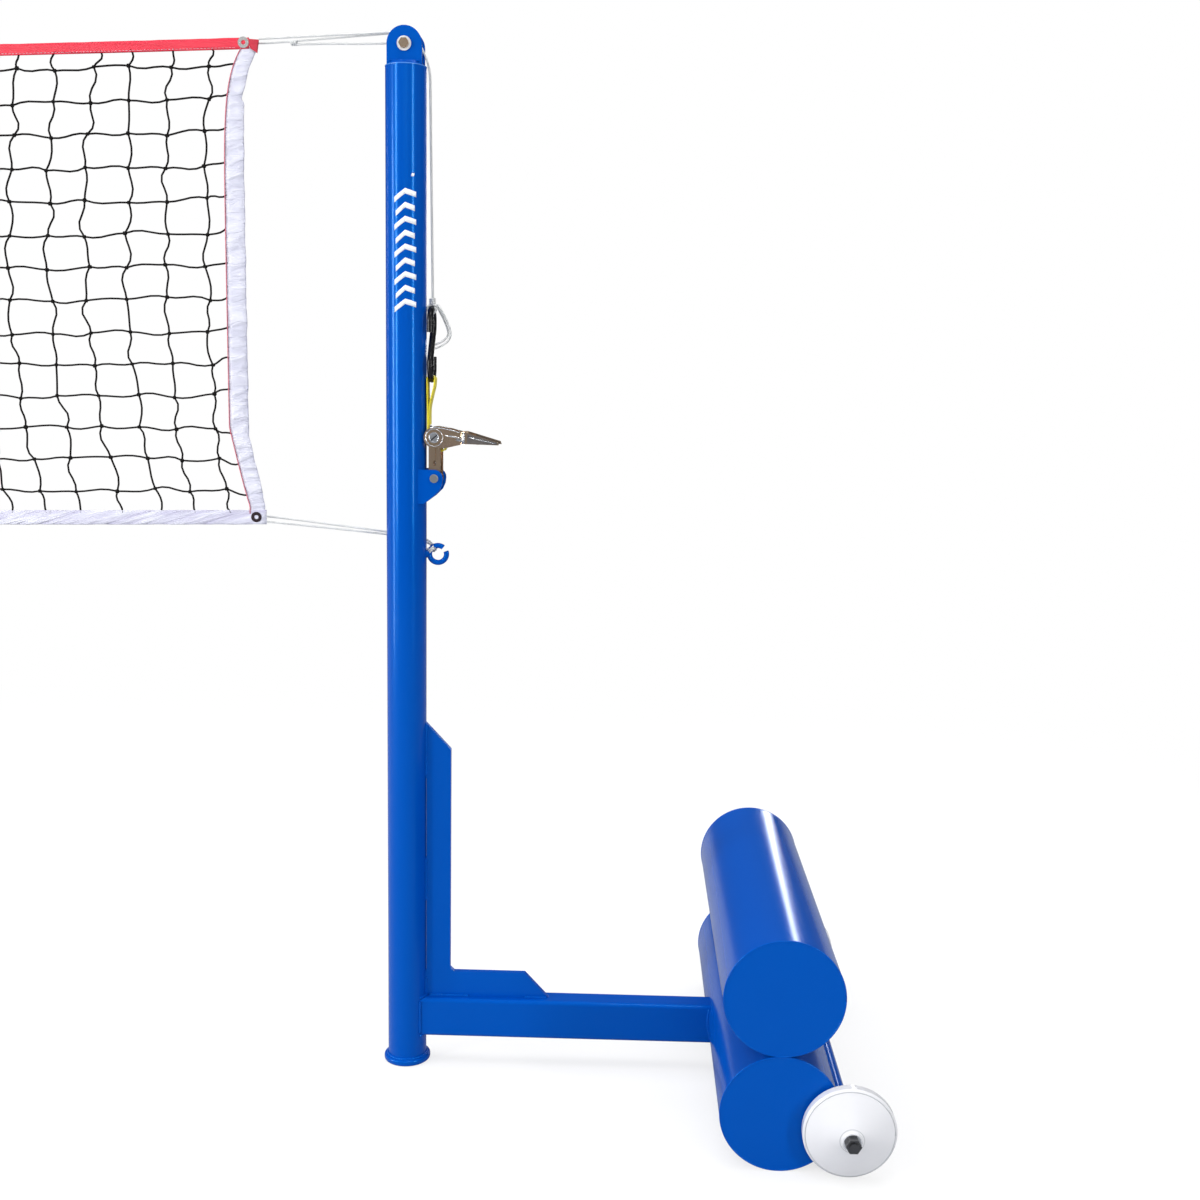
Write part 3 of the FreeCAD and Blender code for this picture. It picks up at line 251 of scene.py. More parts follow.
def shade_hollows(made, group, factor, shade):
    """Paints shade into the hollows that a relief group leaves between threads or creases: the colour is
    darkened there as painted shade.
    """
    tree, shader, colored = coloring(made)
    relief = [node for node in tree.nodes if node.type == "GROUP" and node.node_tree == group][0]
    amount = add_node(tree, "ShaderNodeMapRange", To_Min=factor, To_Max=0.0, Value=relief.outputs["Shade"])
    darker = add_node(tree, "ShaderNodeMix", "hollows", data_type="RGBA", blend_type="MULTIPLY",
            Factor=amount.outputs[0], A=colored, B=(*shade, 1.0))
    tree.links.new(darker.outputs["Result"], shader.inputs["Base Color"])
    return made


def add_creases(made, lean, along, across, depth, strength):
    """Adds creases on top of a fabric's weave."""
    tree, shader, _ = coloring(made)
    source = use_group(tree, RUCKS, Lean=lean, Along=along, Across=across)
    relief = add_node(tree, "ShaderNodeBump", Distance=depth, Strength=strength,
            Height=source.outputs["Height"], Normal=shader.inputs["Normal"].links[0].from_socket)
    tree.links.new(relief.outputs["Normal"], shader.inputs["Normal"])


def fade_finish(made, low, high, other):
    """Blends a material's colour towards another below a height."""
    tree, shader, colored = coloring(made)
    place = add_node(tree, "ShaderNodeNewGeometry")
    parts = add_node(tree, "ShaderNodeSeparateXYZ", feeds=(place.outputs["Position"],))
    fade = add_node(tree, "ShaderNodeMapRange", From_Min=low, From_Max=high, Value=parts.outputs["Z"])
    blend = add_node(tree, "ShaderNodeMix", "by height", data_type="RGBA", Factor=fade.outputs["Result"],
            A=(*other, 1.0), B=colored)
    tree.links.new(blend.outputs["Result"], shader.inputs["Base Color"])


FINISH = {
    "blue_paint": finish_material("royal_blue_enamel", (0.0, 0.066, 0.39), (0.0, 0.08, 0.45), 0.6, 3.0, 0.2,
            0.08, grain(900.0), 0.0001, 0.25, Coat_Weight=0.08, Coat_Roughness=0.06, Specular_IOR_Level=0.8,
            Specular_Tint=(0.02, 0.34, 0.8, 1.0)),
    "bright_zinc": finish_material("bright_zinc_plate", (0.9, 0.91, 0.92), (0.7, 0.72, 0.75), 0.6, 60.0,
            0.24, 0.12, grain(1500.0), 0.0001, 0.3, Metallic=1.0),
    "yellow_zinc": finish_material("yellow_chromate_zinc", (0.86, 0.68, 0.42), (0.62, 0.4, 0.34), 0.9, 70.0,
            0.24, 0.14, grain(1200.0), 0.0001, 0.3, Metallic=1.0),
    "dark_zinc": finish_material("dark_plated_steel", (0.07, 0.075, 0.085), (0.16, 0.15, 0.14), 0.6, 80.0,
            0.32, 0.15, grain(1200.0), 0.0001, 0.3, Metallic=0.9),
    "sheave_plastic": finish_material("white_nylon", (0.8, 0.82, 0.84), (0.62, 0.64, 0.66), 0.5, 30.0, 0.38,
            0.1, grain(700.0), 0.0001, 0.3),
    "wheel_plastic": finish_material("white_moulded_wheel", (0.8, 0.8, 0.82), (0.66, 0.66, 0.69), 0.6, 16.0,
            0.2, 0.1, grain(500.0), 0.0001, 0.25, Coat_Weight=0.6, Coat_Roughness=0.1),
    "rope_white": finish_material("white_braided_cord", (0.93, 0.94, 0.93), (0.8, 0.82, 0.8), 0.5, 200.0,
            0.75, 0.1, threads(4200.0), 0.0006, 0.8),
    "webbing_yellow": finish_material("yellow_webbing", (0.98, 0.83, 0.02), (0.82, 0.72, 0.01), 0.6, 40.0,
            0.7, 0.1, threads(3600.0, 2600.0), 0.0005, 0.7, Sheen_Weight=0.15),
    "tape_red": finish_material("red_coated_tape", (0.88, 0.046, 0.085), (0.66, 0.015, 0.04), 0.6, 7.0,
            0.45, 0.12, threads(3000.0), 0.0002, 0.35),
    "tape_white": finish_material("white_woven_tape", (0.8, 0.81, 0.9), (0.64, 0.63, 0.74), 0.7, 22.0, 0.55,
            0.15, threads(3000.0), 0.0002, 0.35, Sheen_Weight=0.1),
    "net_black": finish_material("black_netting_twine", (0.004, 0.004, 0.004), (0.014, 0.011, 0.01), 0.6,
            9.0, 0.8, 0.1, threads(5200.0), 0.0005, 0.5, Specular_IOR_Level=0.15),
    "vinyl_black": finish_material("black_dipped_vinyl", (0.003, 0.003, 0.004), (0.01, 0.01, 0.012), 0.5,
            40.0, 0.22, 0.12, grain(500.0), 0.0002, 0.3, Specular_IOR_Level=0.35),
    "spring_steel": finish_material("drawn_spring_wire", (0.55, 0.56, 0.58), (0.35, 0.36, 0.38), 0.5, 90.0,
            0.3, 0.1, grain(1500.0), 0.0001, 0.3, Metallic=1.0),
    "ballast": finish_material("cast_ballast", (0.38, 0.37, 0.35), (0.25, 0.24, 0.23), 0.8, 20.0, 0.9, 0.05,
            grain(200.0), 0.001, 0.8),
    "eyelet_metal": finish_material("pressed_eyelet", (0.93, 0.92, 0.89), (0.74, 0.72, 0.68), 0.6, 60.0,
            0.25, 0.1, grain(1500.0), 0.0001, 0.3, Metallic=0.85),
}
# Painted shade: this colour is multiplied into the hollows between the threads of the rope, webbing and
# tapes.
PAINTED_HOLLOW_SHADE = (0.2, 0.2, 0.22)
for fabric, factor in (("rope_white", 0.18), ("webbing_yellow", 0.2), ("tape_red", 0.25),
        ("tape_white", 0.2)):
    shade_hollows(FINISH[fabric], WEAVE, factor, PAINTED_HOLLOW_SHADE)
SIDE_CLOTH = FINISH["tape_white"].copy()
SIDE_CLOTH.name = "white_tape_with_cross_creases"
BOTTOM_CLOTH = FINISH["tape_white"].copy()
BOTTOM_CLOTH.name = "white_tape_with_long_creases"
add_creases(SIDE_CLOTH, 0.22, 24.0, 72.0, 0.008, 0.85)
add_creases(BOTTOM_CLOTH, 0.3, 11.0, 120.0, 0.007, 0.8)
# Painted shade: these tints darken the colour in the creases of the side, bottom and red tapes.
shade_hollows(SIDE_CLOTH, RUCKS, 0.42, (0.52, 0.52, 0.62))
shade_hollows(BOTTOM_CLOTH, RUCKS, 0.6, (0.5, 0.46, 0.64))
add_creases(FINISH["tape_red"], 0.006, 5.0, 190.0, 0.004, 0.6)
shade_hollows(FINISH["tape_red"], RUCKS, 0.35, (0.72, 0.35, 0.4))
fade_finish(FINISH["eyelet_metal"], 1.1, 1.2, (0.1, 0.07, 0.08))


def finish_frame():
    """Gives every CAD node the finish of its material slot."""
    for part in frame["record"]["subparts"]:
        node = frame["nodes"][part["node"]]
        for holder in node.material_slots:
            holder.material = FINISH[part["material_slot"]]


# ---- Mesh helpers ----
def add_mesh(name, loops, slot, body=BODY, smooth=True, material=None):
    """A piece from gathered loops, riding a body; with no body it is left for the caller to bind."""
    mesh = bpy.data.meshes.new(name)
    mesh.from_pydata([tuple(vert) for vert in loops.verts], [], loops.faces)
    mesh.validate()
    if smooth:
        mesh.polygons.foreach_set("use_smooth", [True] * len(mesh.polygons))
    piece = bpy.data.objects.new(name, mesh)
    bpy.context.scene.collection.objects.link(piece)
    piece.data.materials.append(material or FINISH[slot])
    if body:
        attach(piece, body)
    return piece


def around(steps, closed=0):
    """Angles that divide a full turn evenly, with the first repeated at the end if closed is 1."""
    return [2 * math.pi * k / steps for k in range(steps + closed)]


def ring_faces(first, second, sides):
    return [(first + i, first + (i + 1) % sides, second + (i + 1) % sides, second + i)
            for i in range(sides)]


class Loops:
    """Gathers closed cross-section loops into one mesh of capped, lofted strands."""

    def __init__(self):
        self.verts = []
        self.faces = []

    def loft(self, loops):
        sides = len(loops[0])
        start = len(self.verts)
        for loop in loops:
            self.verts.extend(loop)
        for index in range(len(loops) - 1):
            self.faces.extend(ring_faces(start + index * sides, start + (index + 1) * sides, sides))
        self.faces.append(tuple(range(start + sides - 1, start - 1, -1)))
        last = start + (len(loops) - 1) * sides
        self.faces.append(tuple(range(last, last + sides)))

    def strand(self, points, radius, sides=6, across=Vector((0, 1, 0))):
        """A round strand along points; radius is a number or one number per point."""
        loops = []
        for index, point in enumerate(points):
            ahead = points[min(index + 1, len(points) - 1)] - points[max(index - 1, 0)]
            side = ahead.cross(across).normalized()
            lift = side.cross(ahead).normalized()
            size = radius[index] if isinstance(radius, list) else radius
            loops.append([point + side * (size * math.cos(turn)) + lift * (size * math.sin(turn))
                    for turn in around(sides)])
        self.loft(loops)

    def blob(self, centre, size, turns=8, rows=4):
        """A closed rounded lump."""
        loops = []
        for row in range(1, rows):
            polar = math.pi * row / rows
            ring = []
            for turn in around(turns):
                ring.append(centre + Vector((size[0] * math.sin(polar) * math.cos(turn),
                        size[1] * math.sin(polar) * math.sin(turn), size[2] * math.cos(polar))))
            loops.append(ring)
        self.loft(loops)


def about_post(points, side=1):
    """Points given about the right post's axis, in the row frame, on either side."""
    return [Vector((side * (POST_X + point[0]), point[1], point[2])) for point in points]


# ---- Ropes ----
HEAD_FRONT = [(-0.2138, 0.0, 1.5625), (-0.008, -0.0021, 1.575), (0.0123, -0.0022, 1.5762),
        (0.0198, -0.0022, 1.5599), (0.035, -0.0022, 1.527), (0.0355, -0.0022, 1.49)]
HEAD_REAR = [(-0.236, -0.0005, 1.557), (-0.236, 0.007, 1.5572), (-0.222, 0.0076, 1.5578),
        (-0.19, 0.0054, 1.5589), (-0.0082, 0.0025, 1.5747), (0.0121, 0.0022, 1.5765),
        (0.0197, 0.0022, 1.5601), (0.035, 0.0022, 1.527), (0.0355, 0.0022, 1.49)]
TAIL = [(-0.16, 0.0048, 1.5566), (-0.112, 0.0044, 1.5586), (-0.064, 0.0026, 1.5582),
        (-0.028, 0.002, 1.5594)]
LOOP_OUTER = [(0.0464, -0.0015, 1.1904), (0.0516, -0.002, 1.1836), (0.0615, -0.003, 1.166),
        (0.068, -0.0034, 1.148), (0.063, -0.0034, 1.1365), (0.052, -0.003, 1.129), (0.0432, -0.003, 1.1255)]
LOOP_INNER = [(0.0462, 0.0015, 1.1866), (0.0502, 0.0012, 1.179), (0.058, 0.0004, 1.164),
        (0.0635, 0.0002, 1.149), (0.0595, 0.0002, 1.1405), (0.051, 0.0002, 1.1345),
        (0.0432, 0.0004, 1.1315)]
FOOT_UPPER = [(-0.229, 0.0005, 0.868), (-0.229, 0.007, 0.8686), (-0.214, 0.0096, 0.8688),
        (-0.04, 0.0335, 0.8465), (-0.01, 0.0365, 0.8424), (0.019, 0.0335, 0.8386), (0.036, 0.022, 0.832),
        (0.0395, 0.0144, 0.8275)]
FOOT_LOWER = [(-0.2138, 0.0, 0.861), (-0.15, 0.013, 0.8546), (-0.04, 0.0335, 0.8426),
        (-0.01, 0.0365, 0.8386), (0.019, 0.0335, 0.8346), (0.036, 0.022, 0.8276), (0.0395, 0.0146, 0.8234)]


def rope(name, points):
    """One rope along its route, standing for the CAD cord of the same name."""
    curve = bpy.data.curves.new(name, "CURVE")
    curve.dimensions = "3D"
    curve.bevel_depth = ROPE / 2
    curve.bevel_resolution = 3
    curve.resolution_u = 10
    curve.use_fill_caps = True
    spline = curve.splines.new("NURBS")
    spline.points.add(len(points) - 1)
    for control, point in zip(spline.points, points):
        control.co = (*point, 1.0)
    spline.order_u = 3
    spline.use_endpoint_u = True
    piece = bpy.data.objects.new(name + "_cord", curve)
    bpy.context.scene.collection.objects.link(piece)
    curve.materials.append(FINISH["rope_white"])
    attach(piece, BODY)
    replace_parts(piece, name)
    return piece


def make_ropes():
    hook_end = [(0.0394, -0.0022, 1.1994), (0.0394, 0.0022, 1.1994)]
    cleat_end = [(0.0444, -0.0022, 0.9516), (0.0444, 0.0022, 0.9516)]
    for side, word, ends, reach in ((1, "right", hook_end, 0.0), (-1, "left", cleat_end, 0.248)):
        rope("headline_rope_" + word, about_post(HEAD_FRONT + ends[:1], side))
        rope("lashing_rope_" + word, about_post(HEAD_REAR + ends[1:], side))
        rope("bottom_rope_upper_" + word, about_post(FOOT_UPPER, side))
        rope("bottom_rope_lower_" + word, about_post(FOOT_LOWER, side))
    tip = Loops()
    ends = about_post([(-0.028, 0.002, 1.5594), (-0.0262, 0.002, 1.5595), (-0.0246, 0.002, 1.5596)])
    tip.strand(ends, [0.0016, 0.0017, 0.0011], 10, Vector((0, 0, 1)))
    melted = add_mesh("melted_rope_tip", tip, "rope_white", material=finish_material("melted_cord_end",
            (0.25, 0.1, 0.05), (0.12, 0.05, 0.03), 0.6, 300.0, 0.4))
    rope("lashing_tail", about_post(TAIL))
    rope("hitch_loop_outer", about_post(LOOP_OUTER))
    rope("hitch_loop_inner", about_post(LOOP_INNER))


def knot_turns(mesh, centre, axis, radius, turns, rise, thick=ROPE / 2, wobble=0.0004):
    """Rope turns laid round an axis, each a little uneven, with the ends tucked under."""
    steps = int(turns * 14)
    axis = Vector(axis).normalized()
    side = axis.orthogonal().normalized()
    other = axis.cross(side)
    points = []
    for step in range(steps + 1):
        share = step / steps
        turn = 2 * math.pi * turns * share
        reach = radius + wobble * math.sin(3.1 * turn) - 0.0012 * (share < 0.04 or share > 0.96)
        points.append(Vector(centre) + side * (reach * math.cos(turn)) + other * (reach * math.sin(turn))
                + axis * (rise * (share - 0.5)))
    mesh.strand(points, thick, 8, axis)


def make_knots():
    """Hitches at the S-hook, round the left spacer and behind both open eyes."""
    knots = Loops()
    for spot, radius, turns, rise, axis in (
            ((0.0392, 0.0, 1.1946), 0.0036, 3.0, 0.0086, (0, 0, 1)),
            ((0.042, 0.0, 1.1896), 0.004, 1.6, 0.004, (0.35, 0, 1)),
            ((0.038, 0.0, 1.183), 0.0064, 2.3, 0.0072, (0, 1, 0)),
            ((0.0405, 0.0092, 0.8246), 0.0036, 2.6, 0.0076, (0.3, 0.4, 1))):
        knot_turns(knots, about_post([spot])[0], axis, radius, turns, rise)
    left = about_post([(0.0445, 0.0, 0.9452), (0.0445, 0.0, 0.9334), (0.0405, 0.0092, 0.8246)], -1)
    knot_turns(knots, left[0], (0, 0, 1), 0.0036, 3.6, 0.011)
    knot_turns(knots, left[1], (0, 1, 0), 0.0065, 3.4, 0.011)
    knot_turns(knots, left[2], (-0.3, 0.4, 1), 0.0036, 2.6, 0.0076)
    for side in SIDES:
        knot_turns(knots, about_post([(-0.164, 0.005, 1.5588)], side)[0], (1, 0, 0.05), 0.0026, 3.0, 0.009)
        knot_turns(knots, about_post([(0.0378, 0.0, 0.8252)], side)[0], (side * 0.6, 0, -0.8), 0.0056, 2.2,
                0.0064)
    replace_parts(add_mesh("rope_hitches", knots, "rope_white"), "rope_knots")


# ---- Net: knotted strings and sewn tapes ----
COLUMNS = 108
ROWS = 14
COLUMN_PITCH = 0.0556
ROW_TOP = 0.0205
ROW_LOW = 0.0302
STRING = 0.0015
STEPS = 5


def top_edge(x):
    return NET_TOP - TOP_SAG * (1 - (x / NET_END) ** 2)


def bottom_edge(x):
    return NET_BOTTOM - BOTTOM_SAG * (1 - (x / NET_END) ** 2)


def outer_inset(z):
    """How far the side tape's outer edge stands in from the net's end at a height."""
    low = min(max((z - 0.885) / 0.105, 0.0), 1.0) ** 1.15
    return 0.002 + 0.0225 * low - 0.024 * math.exp(-max(NET_TOP - TOP_TAPE - z, 0.0) / 0.034)


def inner_inset(z):
    low = min(max((z - 0.885) / 0.118, 0.0), 1.0) ** 0.9
    return 0.025 + 0.029 * low - 0.028 * math.exp(-max(NET_TOP - TOP_TAPE - z, 0.0) / 0.045)


def string_knots(rng):
    """Where the strings cross, row by row; the netting draws in towards the middle between its tapes."""
    grid = []
    for row in range(ROWS):
        share = row / (ROWS - 1)
        line = []
        for column in range(COLUMNS):
            home = (column - (COLUMNS - 1) / 2) * COLUMN_PITCH
            gap = NET_END - abs(home)
            pull = 0.055 * (1 - math.exp(-gap / 0.5)) * (1 - gap / NET_END) * 4 * share * (1 - share)
            lean = 0.014 * share ** 5 * math.exp(-max(gap - 0.2, 0.0) / 0.4)
            x = math.copysign(abs(home) - pull + lean, home) + rng.uniform(-0.0042, 0.0042)
            high = top_edge(x) - TOP_TAPE - ROW_TOP
            low = bottom_edge(x) + BOTTOM_TAPE + ROW_LOW
            z = high + (low - high) * share + rng.uniform(-0.003, 0.003)
            line.append(Vector((x, rng.uniform(-0.0006, 0.0006), z)))
        grid.append(line)
    return grid


def wavy(points, rng, sway):
    """A string through its knots, with an uneven bow between each pair."""
    path = []
    for start, end in zip(points, points[1:]):
        run = end - start
        side = Vector((run.z, 0, -run.x)).normalized()
        bow = rng.uniform(-sway, sway)
        curl = rng.uniform(-0.55, 0.55) * sway
        for step in range(STEPS):
            turn = math.pi * step / STEPS
            path.append(start + run * (step / STEPS) + side * (bow * math.sin(turn) + curl
                    * math.sin(2 * turn)))
    path.append(points[-1])
    return path


def make_netting():
    rng = random.Random(11)
    grid = string_knots(rng)
    down, across, lumps = Loops(), Loops(), Loops()
    for column in range(COLUMNS):
        knots = [grid[row][column] for row in range(ROWS)]
        head = Vector((knots[0].x + rng.uniform(0.002, 0.012), 0, 0))
        head.z = top_edge(head.x) - TOP_TAPE + 0.004
        foot = Vector((knots[-1].x + rng.uniform(0.0, 0.014), 0, 0))
        foot.z = bottom_edge(foot.x) + BOTTOM_TAPE - 0.004
        down.strand(wavy([head, *knots, foot], rng, 0.0068), STRING, 5)
    for row in range(ROWS):
        knots = grid[row]
        ends = []
        for side, knot in ((-1, knots[0]), (1, knots[-1])):
            z = knot.z + rng.uniform(0.004, 0.012) * (1 if row < ROWS - 3 else -1)
            ends.append(Vector((side * (NET_END - inner_inset(z) + 0.003), 0, z)))
        across.strand(wavy([ends[0], *knots, ends[1]], rng, 0.0036), STRING, 5)
    for line in grid:
        for knot in line:
            size = [rng.uniform(0.003, 0.004), 0.0026, rng.uniform(0.003, 0.004)]
            lumps.blob(knot, size, 7, 4)
    pieces = [add_mesh("net_strings_down", down, "net_black"), add_mesh("net_strings_across", across,
            "net_black"), add_mesh("net_string_knots", lumps, "net_black")]
    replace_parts(pieces[0], "net_mesh")


def punch(piece, centres, radius=0.0036):
    """Cuts round holes along Y through a piece, at (x, z) centres."""
    cutter = Loops()
    for x, z in centres:
        ring = [(x + radius * math.cos(turn), z + radius * math.sin(turn)) for turn in around(20)]
        cutter.loft([[Vector((px, depth, pz)) for px, pz in ring] for depth in (-0.02, 0.02)])
    tool = bpy.data.objects.new("punch", bpy.data.meshes.new("punch"))
    tool.data.from_pydata([tuple(vert) for vert in cutter.verts], [], cutter.faces)
    bpy.context.scene.collection.objects.link(tool)
    holes = piece.modifiers.new("eyelet_holes", "BOOLEAN")
    holes.object = tool
    holes.solver = "EXACT"
    with_holes = bpy.data.meshes.new_from_object(piece.evaluated_get(bpy.context.evaluated_depsgraph_get()))
    piece.modifiers.clear()
    piece.data = with_holes
    bpy.data.objects.remove(tool)


def tape_loop(spine, out, across, width, ply, gap, ruck):
    """A folded tape's cross-section: two plies joined at the fold; out points from open edge to fold."""
    inner, outer = gap, gap + ply
    path = [(0.0, outer), (0.3, outer + ruck), (0.65, outer + ruck * 0.4), (0.94, outer), (1.0, 0.0),
            (0.94, -outer), (0.65, -outer + ruck * 0.4), (0.3, -outer + ruck), (0.0, -outer), (0.0, -inner),
            (0.3, -inner + ruck), (0.88, -inner), (0.88, inner), (0.3, inner + ruck), (0.0, inner)]
    return [spine + out * (width * share) + across * depth for share, depth in path]


WRINKLES = [(0.083, 0.35, 0.3), (0.047, 0.3, 1.9), (0.031, 0.2, 4.1), (0.019, 0.15, 2.2)]


def wrinkle(along, shift=0.0):
    """A smooth, repeatable unevenness along a tape, from -1 to 1."""
    return sum(share * math.sin(2 * math.pi * along / pitch + phase + shift) for pitch, share,
            phase in WRINKLES)


def make_long_tape(name, node, slot, edge, width, fold_up, ruck, step, ply=0.0006, gap=0.0007):
    """The top or bottom tape, folded over the netting's edge from corner to corner."""
    tape = Loops()
    loops = []
    inset = 0.014 if fold_up else 0.0
    count = int(2 * NET_END / step)
    for index in range(count + 1):
        x = -NET_END + inset + index * (2 * NET_END - 2 * inset) / count
        z = edge(x)
        uneven = wrinkle(x)
        open_edge = Vector((x, 0, z - width if fold_up else z + width))
        out = Vector((0, 0, 1 if fold_up else -1))
        loops.append(tape_loop(open_edge, out, Vector((0, 1, 0)), width * (1 + 0.02 * uneven), ply, gap,
                ruck * uneven))
    tape.loft(loops)
    piece = add_mesh(name, tape, slot, material=None if fold_up else BOTTOM_CLOTH)
    across, height = EYELETS["top" if fold_up else "bottom"]
    punch(piece, [(side * across, height) for side in SIDES])
    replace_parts(piece, node)
    return piece


def step_in(z, step=1.473, depth=0.005, fade=0.026):
    """The side tape's folded edge steps in just above one crease near its top."""
    return depth * math.exp(-((z - step) / fade) ** 2) * min(max((z - step) / 0.003, 0.0), 1.0)


def make_eyelet_throats():
    """Dark liners set a little back in each eyelet's hole: painted shade where the doubled tape and the rope
    lie in shadow.
    """
    eyelet_shade = finish_material("painted_shade_in_eyelet", (0.02, 0.012, 0.014), (0.06, 0.012, 0.02), 0.6, 300.0, 0.9)
    for side in SIDES:
        for name, (x, z) in EYELETS.items():
            throat = Loops()
            for reach, near, far in ((0.0031, -0.0012, -0.0009), (0.0024, -0.0013, -0.0012)):
                rings = [[Vector((side * x + reach * math.cos(turn), depth, z + reach * math.sin(turn)))
                        for turn in around(18)] for depth in (near, far)]
                throat.loft(rings)
            add_mesh(f"eyelet_throat_{name}_" + SIDE_WORD[side], throat, "eyelet_metal", material=eyelet_shade)


def make_side_tape(side):
    """A side tape: rucked between its corners, with a coloured cord along its inner edge."""
    tape, piping = Loops(), Loops()
    loops = []
    cord_points = []
    high = NET_TOP - TOP_TAPE + 0.0015
    low = NET_BOTTOM + BOTTOM_TAPE - 0.006
    steps = 150
    for index in range(steps + 1):
        z = high + (low - high) * index / steps
        uneven = wrinkle(z, 1.3 * side)
        outer = NET_END - outer_inset(z) + 0.001 * uneven - step_in(z)
        inner = NET_END - inner_inset(z)
        spine = Vector((side * inner, 0, z))
        out = Vector((side, 0, 0))
        tuck = min(max((high - z) / 0.008, 0.0), 1.0)
        loops.append(tape_loop(spine, out, Vector((0, 1, 0)), outer - inner, 0.0002 + 0.0004 * tuck,
                0.0002 + 0.0005 * tuck, 0.0013 * uneven * tuck))
        cord_points.append(Vector((side * (inner + 0.0004), -0.0018, z)))
    tape.loft(loops)
    word = SIDE_WORD[side]
    piece = add_mesh("sewn_side_tape_" + word, tape, "tape_white", material=SIDE_CLOTH)
    punch(piece, [(side * x, z) for x, z in EYELETS.values()])
    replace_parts(piece, "side_tape_" + word)
    piping.strand(cord_points, 0.0007, 6)
    add_mesh("side_tape_piping_" + word, piping, "tape_red", material=PIPING)


PIPING = finish_material("pink_piping", (0.62, 0.16, 0.22), (0.45, 0.08, 0.12), 0.5, 60.0, 0.6)


def make_stitches():
    """Running stitches that close the tapes."""
    thread = Loops()
    step = 0.0052
    for edge, shift in ((top_edge, -TOP_TAPE + 0.0022), (bottom_edge, BOTTOM_TAPE - 0.0024)):
        for index in range(int(2 * (NET_END - 0.03) / step)):
            x = -NET_END + 0.03 + index * step
            z = edge(x) + shift
            points = [Vector((x + share * 0.0034, -0.0014 - lift, z)) for share,
                    lift in ((0.0, 0.0), (0.3, 0.00035), (0.7, 0.00035), (1.0, 0.0))]
            thread.strand(points, 0.00022, 4, Vector((0, 0, 1)))
    add_mesh("tape_stitches", thread, "tape_white")


FOLDED_RED = shade_hollows(finish_material("folded_red_end", (0.66, 0.01, 0.04), (0.36, 0.004, 0.02), 0.9,
        120.0, 0.45, 0.1, threads(3000.0), 0.0002, 0.35), WEAVE, 0.3, PAINTED_HOLLOW_SHADE)


def make_corner_folds():
    """The red tape's end is folded to a triangle beside each top eyelet."""
    for side in SIDES:
        fold = Loops()
        base = [(-0.2285, 1.5618), (-0.2136, 1.5606), (-0.2162, 1.5428), (-0.2262, 1.549)]
        for depth, thick, shrink in ((-0.003, 0.0007, 1.0), (-0.0016, 0.0006, 0.86),
                (0.0006, 0.0007, 1.04)):
            middle = (sum(p[0] for p in base) / 4, sum(p[1] for p in base) / 4)
            corners = [(middle[0] + (x - middle[0]) * shrink, middle[1] + (z - middle[1]) * shrink) for x,
                    z in base]
            near = about_post([(x, depth - 0.0016 * (x + 0.2275) / 0.0135, z) for x, z in corners], side)
            far = [point + Vector((0, thick, 0)) for point in near]
            fold.loft([near, far])
        add_mesh("red_corner_fold_" + SIDE_WORD[side], fold, "tape_red", smooth=False, material=FOLDED_RED)


# ---- Webbing ----
def arc(centre, radius, start, end, steps):
    """Points of an arc in the XZ plane; angles in degrees from +X towards +Z."""
    turns = [math.radians(start + (end - start) * step / steps) for step in range(steps + 1)]
    return [(centre[0] + radius * math.cos(turn), centre[1] + radius * math.sin(turn)) for turn in turns]


def webbing(name, node, path, width, thick, body):
    """Flat webbing along (x, z) points about the right post, with rounded, slightly thicker selvedges."""
    half = width / 2
    section = []
    for along, depth in ((-1.0, 0.0), (-0.97, 0.45), (-0.9, 0.56), (-0.8, 0.46), (0.0, 0.46), (0.8, 0.46),
            (0.9, 0.56), (0.97, 0.45), (1.0, 0.0)):
        section.append((along * half, depth * thick))
    section += [(along, -depth) for along, depth in section[-2:0:-1]]
    band = Loops()
    loops = []
    points = about_post([(x, 0.0, z) for x, z in path])
    for index, point in enumerate(points):
        ahead = points[min(index + 1, len(points) - 1)] - points[max(index - 1, 0)]
        normal = Vector((-ahead.z, 0, ahead.x)).normalized()
        loops.append([point + Vector((0, along, 0)) + normal * depth for along, depth in section])
    band.loft(loops)
    piece = add_mesh(name, band, "webbing_yellow", body, smooth=False)
    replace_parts(piece, node)
    return piece


def make_webbing():
    hook = (0.038, 1.08)
    turn = 0.0058
    up = [(0.0334, 1.0000), (0.0333, 1.022), (0.0331, 1.044), (0.0324, 1.064)]
    over = arc(hook, turn, 172, 12, 14)
    down = [(0.0428, 1.07), (0.0398, 1.058), (0.0372, 1.047), (0.0356, 1.038), (0.0353, 1.026),
            (0.0353, 1.013)]
    lead_in = arc(DRUM, 0.0111, 212, 178, 5)
    strap = webbing("tension_webbing", "tension_strap", lead_in + up + over + down, 0.025, 0.0018, None)
    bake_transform(strap)
    spiral = [(DRUM[0] + (0.007 + 0.0028 * share) * math.cos(share * 18.0),
            DRUM[1] + (0.007 + 0.0028 * share) * math.sin(share * 18.0))
            for share in (step / 90 for step in range(91))]
    webbing("wound_webbing", "strap_wrap", spiral, 0.025, 0.0011, "drum")
    tail = [(DRUM[0] + x / 1000, DRUM[1] + z / 1000) for x, z in ((11.4, -2.0), (13.8, -6.0), (15.4, -11.0),
            (15.3, -15.5), (13.2, -19.0), (9.6, -20.2), (6.4, -18.6), (4.8, -15.4))]
    webbing("webbing_tail", "strap_tail", tail, 0.025, 0.0018, "ratchet_body")


